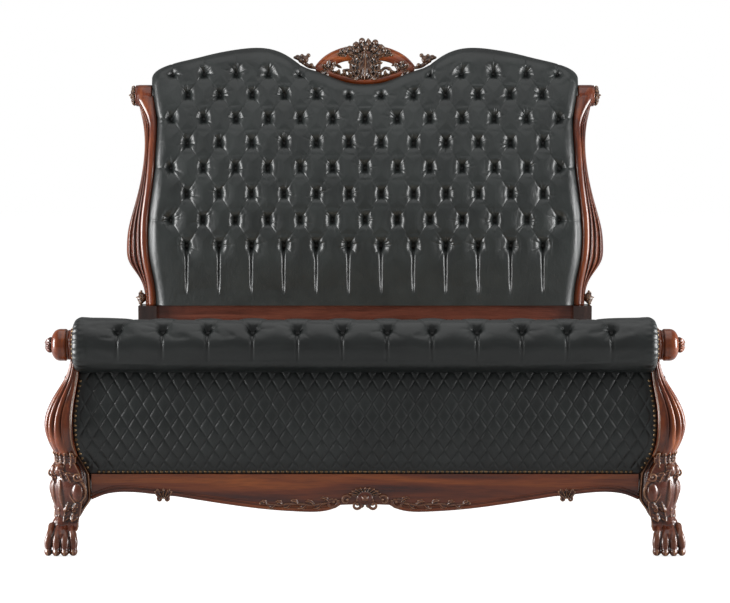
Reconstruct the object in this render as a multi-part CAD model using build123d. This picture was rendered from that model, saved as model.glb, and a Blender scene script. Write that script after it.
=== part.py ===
from build123d import *
import os
from math import cos, pi, sin

# King-size sleigh bed with a tufted leather headboard, a roll-top footboard and carved legs.
# Millimetres. +X is to the right as seen from the foot, +Y runs from foot to head, +Z is up.
# The origin is on the floor, under the middle of the bed.
# "Out" is the distance from the footboard's inner face away from the mattress (towards -Y), and
# "back" is the distance from the headboard's inner plane away from the mattress (towards +Y).

# ---------------------------------------------------------------- driving sizes
mattress_width = 1930.0
mattress_length = 2030.0
side_clearance = 15.0       # between the mattress and each side rail
end_clearance = 15.0        # between the mattress and each end
gap = 0.3                   # clearance between separate pieces
wide_gap = 1.0              # clearance where a soft piece meets wood

# The outlines below are drawn for a king-size mattress. For another width the posts and legs move
# out or in, and what lies between them is stretched across.
well_half = mattress_width / 2 + side_clearance     # half the space between the side rails
king_half = 980.0
outward = well_half - king_half


def moved_out(stations):
    """(height, x) stations of a post or a leg, moved out with the side rails."""
    return [(z, x + outward) for z, x in stations]


def spread(points, edge):
    """(x, z) points stretched across the bed, so that one at the edge moves out with the posts."""
    return [(x * (1 + outward / edge), z) for x, z in points]



foot_depth = 235.0          # the footboard's inner face to the tips of its toes

# ---------------------------------------------------------------- side rails and base
rail_thickness = 40.0
rail_bottom = 235.0
rail_height = 190.0
rail_round = 8.0
cleat_width = 28.0
cleat_height = 32.0
slat_thickness = 20.0
slat_width = 75.0
slat_count = 13
slat_top = 312.0
beam_width = 44.0
beam_height = 88.0
centre_leg_side = 52.0
centre_leg_places = (0.40, 0.76)    # shares of the mattress well, from the foot
screw_radius = 2.5
screw_head_radius = 5.0
screw_sink = 3.0            # depth of the screws' countersunk heads
screw_length = 38.0
screw_inset = 18.0          # from the side rail to a slat's screws
leveller_screw_radius = 5.0
leveller_screw_length = 48.0
leveller_foot_radius = 21.0
leveller_foot_height = 9.0
leveller_travel = 18.0
leveller_running = 0.05     # radial clearance of the screw in its insert
insert_radius = 8.0
insert_flange_radius = 14.0
insert_flange = 2.0
insert_length = 16.0

# ---------------------------------------------------------------- rail hooks
plate_thickness = 3.5
plate_width = 24.0
plate_height = 120.0
hook_thickness = 4.0
hook_reach = 14.0
hook_height = 26.0
hook_drop = 9.0
hook_pitch = 62.0
slot_play = 1.5
plate_screw_radius = 2.0
plate_screw_head = 4.0
plate_screw_sink = 2.4
plate_screw_length = 24.0
plate_screw_edge = 10.0     # from a plate's end to its screw
screw_clearance = 0.1       # round every screw

# ---------------------------------------------------------------- headboard
head_leg_width = 84.0
head_leg_step = 24.0        # the leg's outer face beyond the foot of the post
pad_bottom = 684.0
pad_proud = 28.0            # leather in front of the posts' front faces
core_back = 46.0            # front of the core board, behind the posts' front faces
core_thickness = 24.0
cover_thickness = 10.0
core_top_inset = 36.0       # the core board stops this far under the leather's top edge
post_depth = 84.0
lower_panel_bottom = 300.0
lower_panel_thickness = 25.0
volute_radius = 50.0
volute_height = 1650.0
rosette_radius = 44.0
rosette_height = 34.0
base_rosette_radius = 31.0
base_rosette_height = 36.0
base_rosette_z = 716.0
glide_radius = 22.0
glide_height = 6.0

# How far the posts' front faces stand back from the headboard's inner plane, by height.
lean = [(684, 40), (880, 30), (1025, 30), (1168, 38), (1311, 58), (1450, 86), (1606, 124), (1735, 158),
        (1920, 212)]
# The headboard post's inner and outer edges, as seen from the foot, by height.
post_inner = moved_out([
    (684, 966), (771, 971), (880, 991), (951, 999), (1025, 1000), (1096, 996), (1168, 987), (1311, 971),
    (1400, 966), (1527, 963), (1606, 974), (1702, 990)])
post_outer = moved_out([
    (684, 1019), (760, 1027), (808, 1047), (880, 1094), (951, 1104), (1025, 1098), (1096, 1081), (1168, 1060),
    (1311, 1030), (1400, 1022), (1527, 1032), (1606, 1050), (1702, 1064)])
# The leather's top edge, from the right-hand shoulder to the middle: (x, z).
shoulder_x = 990.0
pad_top = spread([
    (shoulder_x, 1702), (986, 1742), (952, 1776), (832, 1814), (700, 1846), (590, 1866), (440, 1867),
    (365, 1838), (300, 1796), (187, 1750), (90, 1714), (0, 1703)], shoulder_x)

button_edge = 86.0          # from the side of the mattress well to the outermost buttons
button_pitch_x = (well_half - button_edge) / 6
button_rows_z = (960, 1079, 1200, 1321, 1437, 1549, 1660, 1759)
button_radius = 13.0
button_height = 6.0
nail_radius = 5.5
nail_height = 3.0
nail_pitch = 17.0
nail_inset = 7.5            # from the edge that a row of nails follows to its middle

crest_thickness = 34.0
crest_lean = 14.5           # degrees
crest_plate_x = 66.0
crest_plate_width = 26.0
crest_plate_drop = 70.0     # the plates' reach below the foot of the crest
crest_plate_rise = 70.0
crest_hole_radius = 31.0
[(crest_hole_x, crest_hole_z)] = spread([(112, 1770)], shoulder_x)
crest_outline = spread([(236, 1771), (206, 1800), (140, 1846), (72, 1880), (30, 1915), (0, 1905)], shoulder_x)
tendril_thickness = 24.0
tendril_outline = spread(
    [(238, 1788), (262, 1806), (285, 1830), (318, 1836), (334, 1822), (322, 1815)], shoulder_x)

# ---------------------------------------------------------------- footboard
roll_radius = 97.0
roll_out = 118.0
roll_z = 731.0
roll_half = well_half + 38  # half the leather roll's length
roll_end_round = 27.0
roll_core_radius = 60.0
end_disc_radius = 58.0
end_disc_thickness = 12.0
finial_length = 88.0
finial_radius = 56.0
roll_button_count = 12
roll_button_edge = 122.0    # from the side of the mattress well to the outermost buttons
roll_button_pitch = 2 * (well_half - roll_button_edge) / (roll_button_count - 1)
roll_button_rows = ((46, 0.0), (112, 0.5))      # degrees above the front, and the shift in pitches
end_nail_count = 24
end_nail_circle = 64.5

block_inner = well_half - 18    # the hidden corner block, against which the apron and the rails butt
block_outer = well_half + 80
block_depth = 75.0
block_bottom = 186.0
panel_bottom = 276.0
inner_cover_thickness = 20.0
inner_cover_bottom = 236.0
quilt_thickness = 20.0
apron_thickness = 36.0
apron_face = 130.0          # out
carving_height = 14.0

# The quilted panel's front surface, out by height.
quilt_front = [(276, 129), (330, 150), (400, 164), (460, 166), (520, 156), (580, 137), (660, 112)]
# The footboard post's edges as seen from the foot, and its front and back as seen from the side.
foot_inner = moved_out([(344, 1004), (380, 1015), (440, 1021), (520, 1018), (590, 1008), (676, 1001)])
foot_outer = moved_out(
    [(344, 1094), (380, 1112), (440, 1129), (500, 1119), (560, 1088), (620, 1052), (676, 1036)])
foot_front = [(344, 176), (390, 196), (440, 204), (500, 198), (560, 178), (620, 158), (676, 150)]
# The carved leg, from the sole to the collar.
leg_inner = moved_out(
    [(0, 1003), (50, 1001), (100, 1004), (128, 1000), (180, 988), (235, 984), (290, 996), (320, 1014)])
leg_outer = moved_out(
    [(0, 1114), (25, 1118), (76, 1108), (100, 1090), (128, 1087), (180, 1100), (235, 1106), (320, 1096)])
leg_front = [(0, 222), (40, 224), (76, 204), (105, 171), (128, 166), (190, 192), (240, 203), (320, 172)]
leg_back = [(0, 92), (40, 86), (76, 84), (128, 86), (190, 80), (240, 78), (290, 78), (320, 78)]
toe_count = 4
toe_radius = 15.0
toe_z = 13.0
# The apron's lower edge, from the cartouche outwards: (x, z).
apron_end = 962.0
apron_edge = spread(
    [(86, 166), (118, 150), (150, 143), (230, 142), (300, 146), (473, 166), (664, 196)], apron_end)
apron_arch = spread([(664, 196), (750, 205), (837, 212), (900, 207), (apron_end, 184)], apron_end)
cartouche_half = 84.0
cartouche_bottom, cartouche_top = 150.0, 228.0
shell_half = 34.0
shell_top = 228.0
[(shell_x, shell_bottom)] = spread([(709, 178)], apron_end)
spray_points = spread([
    (130, 156), (220, 154), (300, 158), (365, 166),
    (360, 180), (300, 186), (220, 190), (150, 182)], apron_end)


# ---------------------------------------------------------------- helpers
def box(x0, x1, y0, y1, z0, z1):
    """A block between two corners."""
    return Pos((x0 + x1) / 2, (y0 + y1) / 2, (z0 + z1) / 2) * Box(x1 - x0, y1 - y0, z1 - z0)


def both_sides(solid):
    """The left and right copies of a piece modelled on the right."""
    return {"left": mirror(solid, about=Plane.YZ), "right": solid}


def closed_face(*curves):
    return Face(Wire([edge for curve in curves for edge in curve.edges()]))


def across(profile, x0, x1):
    """A solid between x0 and x1 with this outline in the Y-Z plane."""
    return extrude(profile, amount=x1 - x0, dir=(1, 0, 0))


def side_curve(stations, base, sign=1.0, offset=0.0, x=0.0):
    """A rising curve in the Y-Z plane through (height, distance) stations."""
    return Spline(*[(x, base + sign * (distance + offset), z) for z, distance in stations])


def head_curve(offset, x=0.0):
    """The headboard's lean, moved back by an offset."""
    return side_curve(lean, y_head, 1.0, offset, x)


def foot_curve(stations, offset=0.0, x=0.0):
    return side_curve(stations, y_foot, -1.0, offset, x)


def between(front, back):
    """The face between two rising curves in one plane."""
    return closed_face(front, Line(front @ 1, back @ 1), back, Line(back @ 0, front @ 0))


def head_slab(offset_front, offset_back, half_width):
    """A slab that follows the headboard's lean, full width and full height."""
    face = between(head_curve(offset_front, -half_width), head_curve(offset_back, -half_width))
    return across(face, -half_width, half_width)


def front_band(inner, outer, y0, y1):
    """A solid between y0 and y1 bounded by two rising edges given as (height, x) stations."""
    a = Spline(*[(x, y0, z) for z, x in inner])
    b = Spline(*[(x, y0, z) for z, x in outer])
    return extrude(between(a, b), amount=y1 - y0, dir=(0, 1, 0))


def at_height(edge, z):
    """The point and direction of a rising edge at a height."""
    low, high = 0.0, 1.0
    for _ in range(40):
        middle = (low + high) / 2
        if (edge @ middle).Z < z:
            low = middle
        else:
            high = middle
    return edge @ low, edge % low


def dome(radius, height):
    """A spherical cap on the X-Y plane."""
    ball = (radius**2 + height**2) / (2 * height)
    layer = Pos(0, 0, height / 2) * Box(3 * radius, 3 * radius, height)
    return (Pos(0, 0, height - ball) * Sphere(ball)) & layer


def facing(point, direction):
    """A plane at a point whose normal is the direction, with X kept level."""
    level = Vector(1, 0, 0) if abs(direction.X) < 0.9 else Vector(0, 1, 0)
    return Plane(origin=point, x_dir=level, z_dir=direction)


def outward_foot(tangent):
    """The outward normal, away from the mattress, of a footboard curve."""
    return Vector(0, -tangent.Z, tangent.Y)


def outward_head(tangent):
    """The outward normal, towards the mattress, of a headboard curve."""
    return Vector(0, -tangent.Z, tangent.Y)


def x_cylinder(radius, x0, x1, y, z):
    return Pos((x0 + x1) / 2, y, z) * Rot(0, 90, 0) * Cylinder(radius, x1 - x0)


# ---------------------------------------------------------------- places worked out from the sizes
def lean_at(z):
    """How far the posts' front faces stand back at a height."""
    return at_height(Spline(*[(0, distance, height) for height, distance in lean]), z)[0].Y


well_length = mattress_length + 2 * end_clearance
rail_x0, rail_x1 = well_half, well_half + rail_thickness
beside_x0, beside_x1 = well_half - 80, well_half + 220      # a span that holds a post and a leg
slat_bottom = slat_top - slat_thickness
leg_bottom = leveller_foot_height + insert_flange + leveller_travel + wide_gap

dip_z = pad_top[-1][1]
crest_top = crest_outline[-2][1]
crest_slope = crest_lean * pi / 180
cover_front = core_back + core_thickness + 2 * gap
back_face = cover_front + cover_thickness
crest_back = back_face - crest_thickness / cos(crest_slope)
crest_reach = crest_thickness * cos(crest_slope) + (crest_top - dip_z) * sin(crest_slope)
head_depth = lean_at(dip_z) + crest_back + crest_reach
head_leg_depth = lean[0][1] + post_depth
head_leg_x1 = post_outer[0][1] + head_leg_step

overall_length = foot_depth + well_length + head_depth
y_foot = -overall_length / 2 + foot_depth
y_head = y_foot + well_length


# ---------------------------------------------------------------- headboard pieces
def head_outline(inset_top=0.0, inset_side=0.0):
    """The upholstered shape of the headboard, as a prism along Y."""
    y0, y1 = y_head - 60, y_head + head_depth + 60
    side = [(x - wide_gap - inset_side, z) for z, x in post_inner]
    top = [(x - wide_gap - inset_side, z - inset_top) for x, z in pad_top[:2]]
    top += [(x, z - inset_top) for x, z in pad_top[2:]]
    side[-1] = top[0]
    right = Spline(*[(x, y0, z) for x, z in side])
    left = Spline(*[(-x, y0, z) for x, z in side])
    brow_right = Spline(*[(x, y0, z) for x, z in top])
    brow_left = Spline(*[(-x, y0, z) for x, z in top])
    face = closed_face(right, brow_right, brow_left, left, Line(left @ 0, right @ 0))
    return extrude(face, amount=y1 - y0, dir=(0, 1, 0))


def head_pad():
    """The tufted pad: foam and leather in front of the core board, wrapped over its edge."""
    half = well_half + 60
    outer = head_slab(-pad_proud, core_back + core_thickness, half) & head_outline()
    hollow = head_slab(core_back - gap, core_back + core_thickness + 1, half)
    pad = outer - (hollow & head_outline(core_top_inset - wide_gap, 3 * wide_gap))
    return pad - crest_screws(wide_gap)


def head_core():
    slab = head_slab(core_back, core_back + core_thickness, well_half + 60)
    return (slab & head_outline(core_top_inset, 4 * wide_gap)) - crest_screws(screw_clearance)


def head_cover():
    cover = head_slab(cover_front, back_face, well_half + 60) & head_outline(6, 2)
    return cover - crest_screws(screw_clearance)


def head_post():
    """A post that sways in front view, leans back in side view and ends in a volute."""
    blank = front_band(post_inner, post_outer, y_head - 20, y_head + head_depth + 60)
    leaning = between(head_curve(0, beside_x0), head_curve(post_depth, beside_x0))
    post = blank & across(leaning, beside_x0, beside_x1)
    post = post & box(beside_x0, beside_x1, y_head, y_head + head_depth + 60, 0, volute_height)
    front, _ = at_height(head_curve(0), volute_height)
    volute_x1 = post_outer[-1][1]
    volute_x0 = post_inner[-1][1]
    return post + x_cylinder(volute_radius, volute_x0, volute_x1, front.Y + volute_radius, volute_height)


def rosette(radius, height):
    """A turned boss with a raised rim and a round middle, along +X from the Y-Z plane."""
    rim = radius * 0.22
    base = Rot(0, 90, 0) * Pos(0, 0, height * 0.2) * Cylinder(radius, height * 0.4)
    ring = Pos(height * 0.4, 0, 0) * Rot(0, 90, 0) * Torus(radius - rim, rim * 0.9)
    boss = Pos(height * 0.4, 0, 0) * Rot(0, 90, 0) * dome(radius * 0.62, height * 0.6)
    return base + ring + boss


def head_leg():
    """The square leg under each post, with its hook pocket."""
    x0, x1 = head_leg_x1 - head_leg_width, head_leg_x1
    leg = box(x0, x1, y_head, y_head + head_leg_depth, glide_height, pad_bottom - gap)
    return leg - hook_pocket(y_head, 1) - plate_screw_holes(y_head, 1)


def head_lower_panel():
    half = head_leg_x1 - head_leg_width - gap
    y0 = y_head + core_back
    return box(-half, half, y0, y0 + lower_panel_thickness, lower_panel_bottom, pad_bottom - gap)


def head_buttons():
    """Buttons in staggered rows; the middle of the top row is left out, under the crest."""
    surface = head_curve(-pad_proud - gap)
    one = dome(button_radius, button_height)
    made = []
    for row, z in enumerate(button_rows_z):
        point, tangent = at_height(surface, z)
        count, start = (12, -5.5) if row % 2 == 0 else (13, -6.0)
        for i in range(count):
            x = (start + i) * button_pitch_x
            under_crest = z == button_rows_z[-1] and abs(x) < 1.5 * button_pitch_x
            if not under_crest:
                made.append(facing(Vector(x, point.Y, z), outward_head(tangent)) * one)
    return Compound(made)


def crest():
    """The pierced crest that stands in the dip of the headboard."""
    y0 = 0.0
    right = Spline(*[(x, y0, z) for x, z in crest_outline])
    left = Spline(*[(-x, y0, z) for x, z in crest_outline])
    dip = [(x, z + wide_gap) for x, z in pad_top if x < crest_outline[0][0]]
    under = [crest_outline[0]] + dip + [(-x, z) for x, z in reversed([crest_outline[0]] + dip[:-1])]
    bottom = Spline(*[(x, y0, z) for x, z in under])
    plate = extrude(closed_face(right, left, bottom), amount=crest_thickness, dir=(0, 1, 0))
    for side in (-1, 1):
        hole = Pos(side * crest_hole_x, 0, crest_hole_z) * Rot(90, 0, 0) * Cylinder(crest_hole_radius, 200)
        plate = plate - hole
    return lean_back(plate) - head_outline(-wide_gap) - crest_screws(screw_clearance)


def lean_back(flat):
    """Moves a plate modelled against the X-Z plane onto the headboard's top, leaning back."""
    turned = Pos(0, 0, dip_z) * Rot(-crest_lean, 0, 0) * Pos(0, 0, -dip_z) * flat
    return Pos(0, y_head + lean_at(dip_z) + crest_back, 0) * turned


def crest_mounting_plates():
    """Two steel plates behind the joint between the crest and the back cover."""
    y0 = crest_thickness + gap
    made = []
    for side in (-1, 1):
        x = side * crest_plate_x
        plate = box(x - crest_plate_width / 2, x + crest_plate_width / 2, y0, y0 + plate_thickness,
                    dip_z - crest_plate_drop, dip_z + crest_plate_rise)
        made.append(lean_back(plate) - crest_screws(screw_clearance))
    return Compound([solid for plate in made for solid in plate.solids()])


def tendril():
    """A small scroll on the leather's top edge beside the crest."""
    outline = [(x, 0, z) for x, z in tendril_outline]
    body = Spline(*outline)
    return extrude(closed_face(body, Line(body @ 1, body @ 0)), amount=tendril_thickness, dir=(0, 1, 0))


# ---------------------------------------------------------------- footboard pieces
def roll_y():
    return y_foot - roll_out


def roll_pad():
    """The leather roll, rounded at its ends, round its core."""
    cylinder = x_cylinder(roll_radius, -roll_half, roll_half, roll_y(), roll_z)
    cylinder = fillet(cylinder.edges().filter_by(GeomType.CIRCLE), roll_end_round)
    return cylinder - x_cylinder(roll_core_radius + gap, -roll_half - 1, roll_half + 1, roll_y(), roll_z)


def roll_core():
    return x_cylinder(roll_core_radius, -roll_half, roll_half, roll_y(), roll_z)


def finial():
    """A turned bud on the end of the roll."""
    x0 = roll_half + end_disc_thickness + 2 * gap
    tip = x0 + finial_length
    steps = [(0.0, 0.86), (0.06, 0.97), (0.16, 1.0), (0.34, 0.98), (0.52, 0.84), (0.66, 0.58), (0.72, 0.48)]
    bud = [(0.72, 0.48), (0.79, 0.46), (0.88, 0.34), (0.96, 0.15), (1.0, 0.0)]
    dome_curve = Spline(*[(x0 + s * finial_length, 0, r * finial_radius) for s, r in steps])
    bud_curve = Spline(*[(x0 + s * finial_length, 0, r * finial_radius) for s, r in bud])
    face = closed_face(Line((x0, 0, 0), dome_curve @ 0), dome_curve, bud_curve, Line((tip, 0, 0), (x0, 0, 0)))
    return Pos(0, roll_y(), roll_z) * revolve(face, axis=Axis.X, revolution_arc=360)


def foot_post():
    """The swelling post between the roll's end and the leg, with the disc that closes the roll."""
    blank = front_band(foot_inner, foot_outer, y_foot - foot_depth, y_foot)
    front = foot_curve(foot_front, 0, beside_x0)
    y_back = y_foot - block_depth - gap
    behind = Line((beside_x0, y_back, foot_front[0][0]), (beside_x0, y_back, foot_front[-1][0]))
    post = blank & across(between(front, behind), beside_x0, beside_x1)
    post = post - x_cylinder(roll_radius + wide_gap, beside_x0, roll_half + gap, roll_y(), roll_z)
    disc_x = roll_half + gap
    return post + x_cylinder(end_disc_radius, disc_x, disc_x + end_disc_thickness, roll_y(), roll_z)


def leaf_collar():
    """The ring of leaves between post and leg."""
    z0, z1 = leg_inner[-1][0] + gap, foot_inner[0][0] - gap
    x0, x1 = foot_inner[0][1] + 4, foot_outer[0][1] + 5
    out0, out1 = block_depth + gap, foot_front[0][1] + 6
    ring = box(x0, x1, y_foot - out1, y_foot - out0, z0, z1)
    return fillet(ring.edges().filter_by(Axis.X), 8)


def paw_leg():
    """The cabriole leg with its knee, ankle and four-toed paw."""
    blank = front_band(leg_inner, leg_outer, y_foot - foot_depth, y_foot)
    profile = between(foot_curve(leg_front, 0, beside_x0), foot_curve(leg_back, 0, beside_x0))
    leg = blank & across(profile, beside_x0, beside_x1)
    first, last = leg_inner[0][1] + toe_radius, leg_outer[0][1] - toe_radius
    for i in range(toe_count):
        x = first + (last - first) * i / (toe_count - 1)
        y = y_foot - foot_depth + toe_radius
        toe = Pos(x, y, toe_z) * Sphere(toe_radius)
        toe = toe + Pos(x, y + 20, toe_z) * Rot(90, 0, 0) * Cylinder(toe_radius, 40)
        leg = leg + (toe & box(x - 40, x + 40, y - 40, y + 60, 0, 80))
    return leg


def corner_block():
    """The hardwood block behind the carved post and leg, which takes the side rail."""
    top = roll_z - roll_radius - 20
    block = box(block_inner, block_outer, y_foot - block_depth, y_foot, block_bottom, top)
    block = fillet(block.edges().filter_by(Axis.X).sort_by(Axis.Z)[:2], 14)
    return block - hook_pocket(y_foot, -1) - plate_screw_holes(y_foot, -1)


def quilt_slab(offset_front, offset_back, x0, x1):
    """A slab behind the quilted panel's front surface."""
    profile = between(foot_curve(quilt_front, offset_front, x0), foot_curve(quilt_front, offset_back, x0))
    return across(profile, x0, x1)


def foot_outline(inset):
    """The quilted panel's shape in front view, as a prism along Y."""
    side = [(z, x - inset) for z, x in foot_inner]
    low = [(panel_bottom, block_inner + 4 - inset)]
    stations = low + side
    y0, y1 = y_foot - foot_depth, y_foot + 10
    right = Spline(*[(x, y0, z) for z, x in stations])
    left = Spline(*[(-x, y0, z) for z, x in stations])
    face = closed_face(right, Line(right @ 1, left @ 1), left, Line(left @ 0, right @ 0))
    return extrude(face, amount=y1 - y0, dir=(0, 1, 0))


def under_roll():
    return x_cylinder(roll_radius + wide_gap, -roll_half - 60, roll_half + 60, roll_y(), roll_z)


def quilted_panel():
    slab = quilt_slab(0, -quilt_thickness, -block_outer, block_outer)
    return (slab & foot_outline(wide_gap)) - under_roll()


def foot_core():
    """The board that carries the quilted panel, between the corner blocks."""
    half = block_inner - gap
    y_back = y_foot - inner_cover_thickness - gap
    front = foot_curve(quilt_front, -quilt_thickness - gap, -half)
    behind = Line((-half, y_back, quilt_front[0][0]), (-half, y_back, quilt_front[-1][0]))
    core = across(between(front, behind), -half, half)
    return core - under_roll()


def inner_cover():
    half = block_inner - gap
    top = roll_z - roll_radius + 30
    cover = box(-half, half, y_foot - inner_cover_thickness, y_foot, inner_cover_bottom, top)
    cover = fillet(cover.edges().filter_by(Axis.X).group_by(Axis.Z)[-1], 9)
    return cover - under_roll()


def apron():
    """The shaped rail under the quilted panel."""
    y0 = y_foot - apron_face
    low, arch = apron_edge, apron_arch
    edges = []
    for side in (-1, 1):
        edges.append(Spline(*[(side * x, y0, z) for x, z in low]))
        edges.append(Spline(*[(side * x, y0, z) for x, z in arch]))
    end_x, end_z = block_inner - gap, panel_bottom - gap
    start_x, start_z = low[0]
    middle_z = cartouche_bottom + 18
    middle = ThreePointArc((-start_x, y0, start_z), (0, y0, middle_z), (start_x, y0, start_z))
    side_x, side_z = arch[-1]
    corner = [(side_x, side_z), (side_x, end_z), (-side_x, end_z), (-side_x, side_z)]
    outline = Polyline(*[(x, y0, z) for x, z in corner])
    plate = extrude(closed_face(*edges, middle, outline), amount=apron_thickness, dir=(0, 1, 0))
    return plate & box(-end_x, end_x, y_foot - foot_depth, y_foot, 0, end_z)


def carved_plate(points, thickness=carving_height):
    """A raised carving on the apron's face with a smooth closed outline."""
    y0 = y_foot - apron_face - gap - thickness
    outline = Spline(*[(x, y0, z) for x, z in points], periodic=True)
    plate = extrude(closed_face(outline), amount=thickness, dir=(0, 1, 0))
    return plate


def cartouche():
    low, high, half = cartouche_bottom, cartouche_top, cartouche_half
    middle = (low + high) / 2
    points = [(0, low + 6), (half * 0.45, low), (half * 0.85, middle - 16), (half, middle + 6),
              (half * 0.7, high - 14), (0, high), (-half * 0.7, high - 14), (-half, middle + 6),
              (-half * 0.85, middle - 16), (-half * 0.45, low)]
    return carved_plate(points, carving_height + 8)


def apron_shell():
    low, high, half = shell_bottom, shell_top, shell_half
    points = [(shell_x, low), (shell_x + half * 0.6, low + 6), (shell_x + half, high - 16),
              (shell_x + half * 0.55, high), (shell_x, high - 6), (shell_x - half * 0.55, high),
              (shell_x - half, high - 16), (shell_x - half * 0.6, low + 6)]
    return carved_plate(points)


def apron_spray():
    return carved_plate(spray_points, carving_height - 4)


def roll_buttons():
    """Two staggered rows of buttons along the roll."""
    one = dome(button_radius, button_height)
    made = []
    for angle, shift in roll_button_rows:
        a = angle * pi / 180
        normal = Vector(0, -cos(a), sin(a))
        count = roll_button_count if shift == 0 else roll_button_count - 1
        for i in range(count):
            x = (i - (count - 1) / 2) * roll_button_pitch
            centre = Vector(x, roll_y(), roll_z) + normal * (roll_radius + gap)
            made.append(facing(centre, normal) * one)
    return Compound(made)


def foot_nails():
    """Nails along the quilted panel's bottom and sides, and round the ends of the roll."""
    one = dome(nail_radius, nail_height)
    surface = foot_curve(quilt_front, gap)
    made = []
    z = panel_bottom + nail_inset
    point, tangent = at_height(surface, z)
    half_count = int((block_inner - 3 * nail_inset) / nail_pitch)
    for i in range(-half_count, half_count + 1):
        made.append(facing(Vector(i * nail_pitch, point.Y, z), outward_foot(tangent)) * one)
    edge = Spline(*[(x, 0, z) for z, x in [(panel_bottom, block_inner + 4)] + foot_inner])
    count = int((roll_z - roll_radius - panel_bottom - 2 * nail_pitch) / nail_pitch)
    for i in range(count):
        z = panel_bottom + nail_pitch * (1.4 + i)
        inner, _ = at_height(edge, z)
        point, tangent = at_height(surface, z)
        for side in (-1, 1):
            place = Vector(side * (inner.X - wide_gap - nail_inset), point.Y, z)
            made.append(facing(place, outward_foot(tangent)) * one)
    for side in (-1, 1):
        for i in range(end_nail_count):
            a = 2 * pi * (i + 0.5) / end_nail_count
            centre = Vector(side * (roll_half + gap), roll_y() + end_nail_circle * cos(a),
                            roll_z + end_nail_circle * sin(a))
            if centre.Z > foot_inner[-1][0] + nail_radius + wide_gap:
                made.append(facing(centre, Vector(side, 0, 0)) * one)
    return Compound(made)


# ---------------------------------------------------------------- rails, hooks and base
def rail_middle_z():
    return rail_bottom + rail_height / 2


def side_rail():
    end = plate_thickness + 2 * gap
    rail = box(rail_x0, rail_x1, y_foot + end, y_head - end, rail_bottom, rail_bottom + rail_height)
    rail = fillet(rail.edges().filter_by(Axis.Y), rail_round)
    return rail - plate_screw_holes(y_foot, -1) - plate_screw_holes(y_head, 1)


def rail_cleat():
    end = plate_thickness + 2 * gap
    cleat = box(rail_x0 - gap - cleat_width, rail_x0 - gap, y_foot + end, y_head - end,
                slat_bottom - gap - cleat_height, slat_bottom - gap)
    return cleat - slat_screw_holes()


def plate_box(y_end, out, thickness, grow=0.0):
    """A hook plate's box against an end of the mattress well; out is +1 at the head, -1 at the foot."""
    x = (rail_x0 + rail_x1) / 2
    z = rail_middle_z()
    near, far = sorted((y_end, y_end + out * thickness))
    return box(x - plate_width / 2 - grow, x + plate_width / 2 + grow, near, far,
               z - plate_height / 2 - grow, z + plate_height / 2 + grow)


def hook_boxes(y_end, out, grow=0.0):
    """The two hooks of a plate: a stem through the slot and a finger that drops behind it."""
    x = (rail_x0 + rail_x1) / 2
    made = []
    root = plate_thickness / 2 if grow == 0 else 0
    for side in (-1, 1):
        z = rail_middle_z() + side * hook_pitch / 2
        stem_y = sorted((y_end - out * root, y_end + out * (hook_reach + grow)))
        made.append(box(x - hook_thickness / 2 - grow, x + hook_thickness / 2 + grow, *stem_y,
                        z - grow, z + hook_height / 2 + grow))
        near = y_end + out * (plate_thickness + 1.5)
        drop_y = sorted((near - out * grow, y_end + out * (hook_reach + grow)))
        made.append(box(x - hook_thickness / 2 - grow, x + hook_thickness / 2 + grow, *drop_y,
                        z - hook_drop - grow, z + hook_height / 2 + grow))
    return made


def hook_plate(y_end, out):
    """A steel plate on a rail's end with two hooks that reach into the post."""
    face = y_end - out * (gap + plate_thickness)
    near, far = sorted((face, face + out * plate_thickness))
    x, z = (rail_x0 + rail_x1) / 2, rail_middle_z()
    half_width, half_height = plate_width / 2, plate_height / 2
    plate = box(x - half_width, x + half_width, near, far, z - half_height, z + half_height)
    for hook in hook_boxes(y_end, out):
        plate = plate + hook
    return plate - plate_screw_holes(y_end, out)


def receiver_plate(y_end, out):
    """A slotted plate let into the post flush with its face."""
    plate = plate_box(y_end, out, plate_thickness)
    for hook in hook_boxes(y_end, out, slot_play):
        plate = plate - hook
    return plate - plate_screw_holes(y_end, out)


def hook_pocket(y_end, out):
    """The recess for a receiver plate and the room behind it for its hooks."""
    x, z = (rail_x0 + rail_x1) / 2, rail_middle_z()
    seat = plate_box(y_end - out, out, plate_thickness + 1 + gap, gap)
    near, far = sorted((y_end, y_end + out * (hook_reach + 6)))
    room = box(x - 8, x + 8, near, far, z - hook_pitch / 2 - hook_drop - 8, z + hook_pitch / 2 + hook_height)
    return seat + room


def plate_screw_places(y_end, out):
    """The screws of the hook plate and of its receiver: centre and outward direction."""
    x = (rail_x0 + rail_x1) / 2
    places = []
    for side in (-1, 1):
        z = rail_middle_z() + side * (plate_height / 2 - plate_screw_edge)
        places.append(Plane(origin=(x, y_end - out * gap, z), x_dir=(1, 0, 0), z_dir=(0, out, 0)))
        places.append(Plane(origin=(x, y_end, z), x_dir=(1, 0, 0), z_dir=(0, -out, 0)))
    return places


def flat_screw(radius, head, sink, length):
    """A countersunk screw that points down from the X-Y plane."""
    taper = Pos(0, 0, -sink / 2) * Cone(radius, head, sink)
    return taper + Pos(0, 0, -length / 2) * Cylinder(radius, length)


def plate_screw(grow=0.0):
    """A screw for the steel plates, or with grow the hole for one."""
    radius, head = plate_screw_radius + grow, plate_screw_head + grow
    return flat_screw(radius, head, plate_screw_sink, plate_screw_length + grow)


def plate_screw_holes(y_end, out):
    return Compound([place * plate_screw(screw_clearance) for place in plate_screw_places(y_end, out)])


def end_screws(y_end, out):
    return Compound([place * plate_screw() for place in plate_screw_places(y_end, out)])


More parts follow.
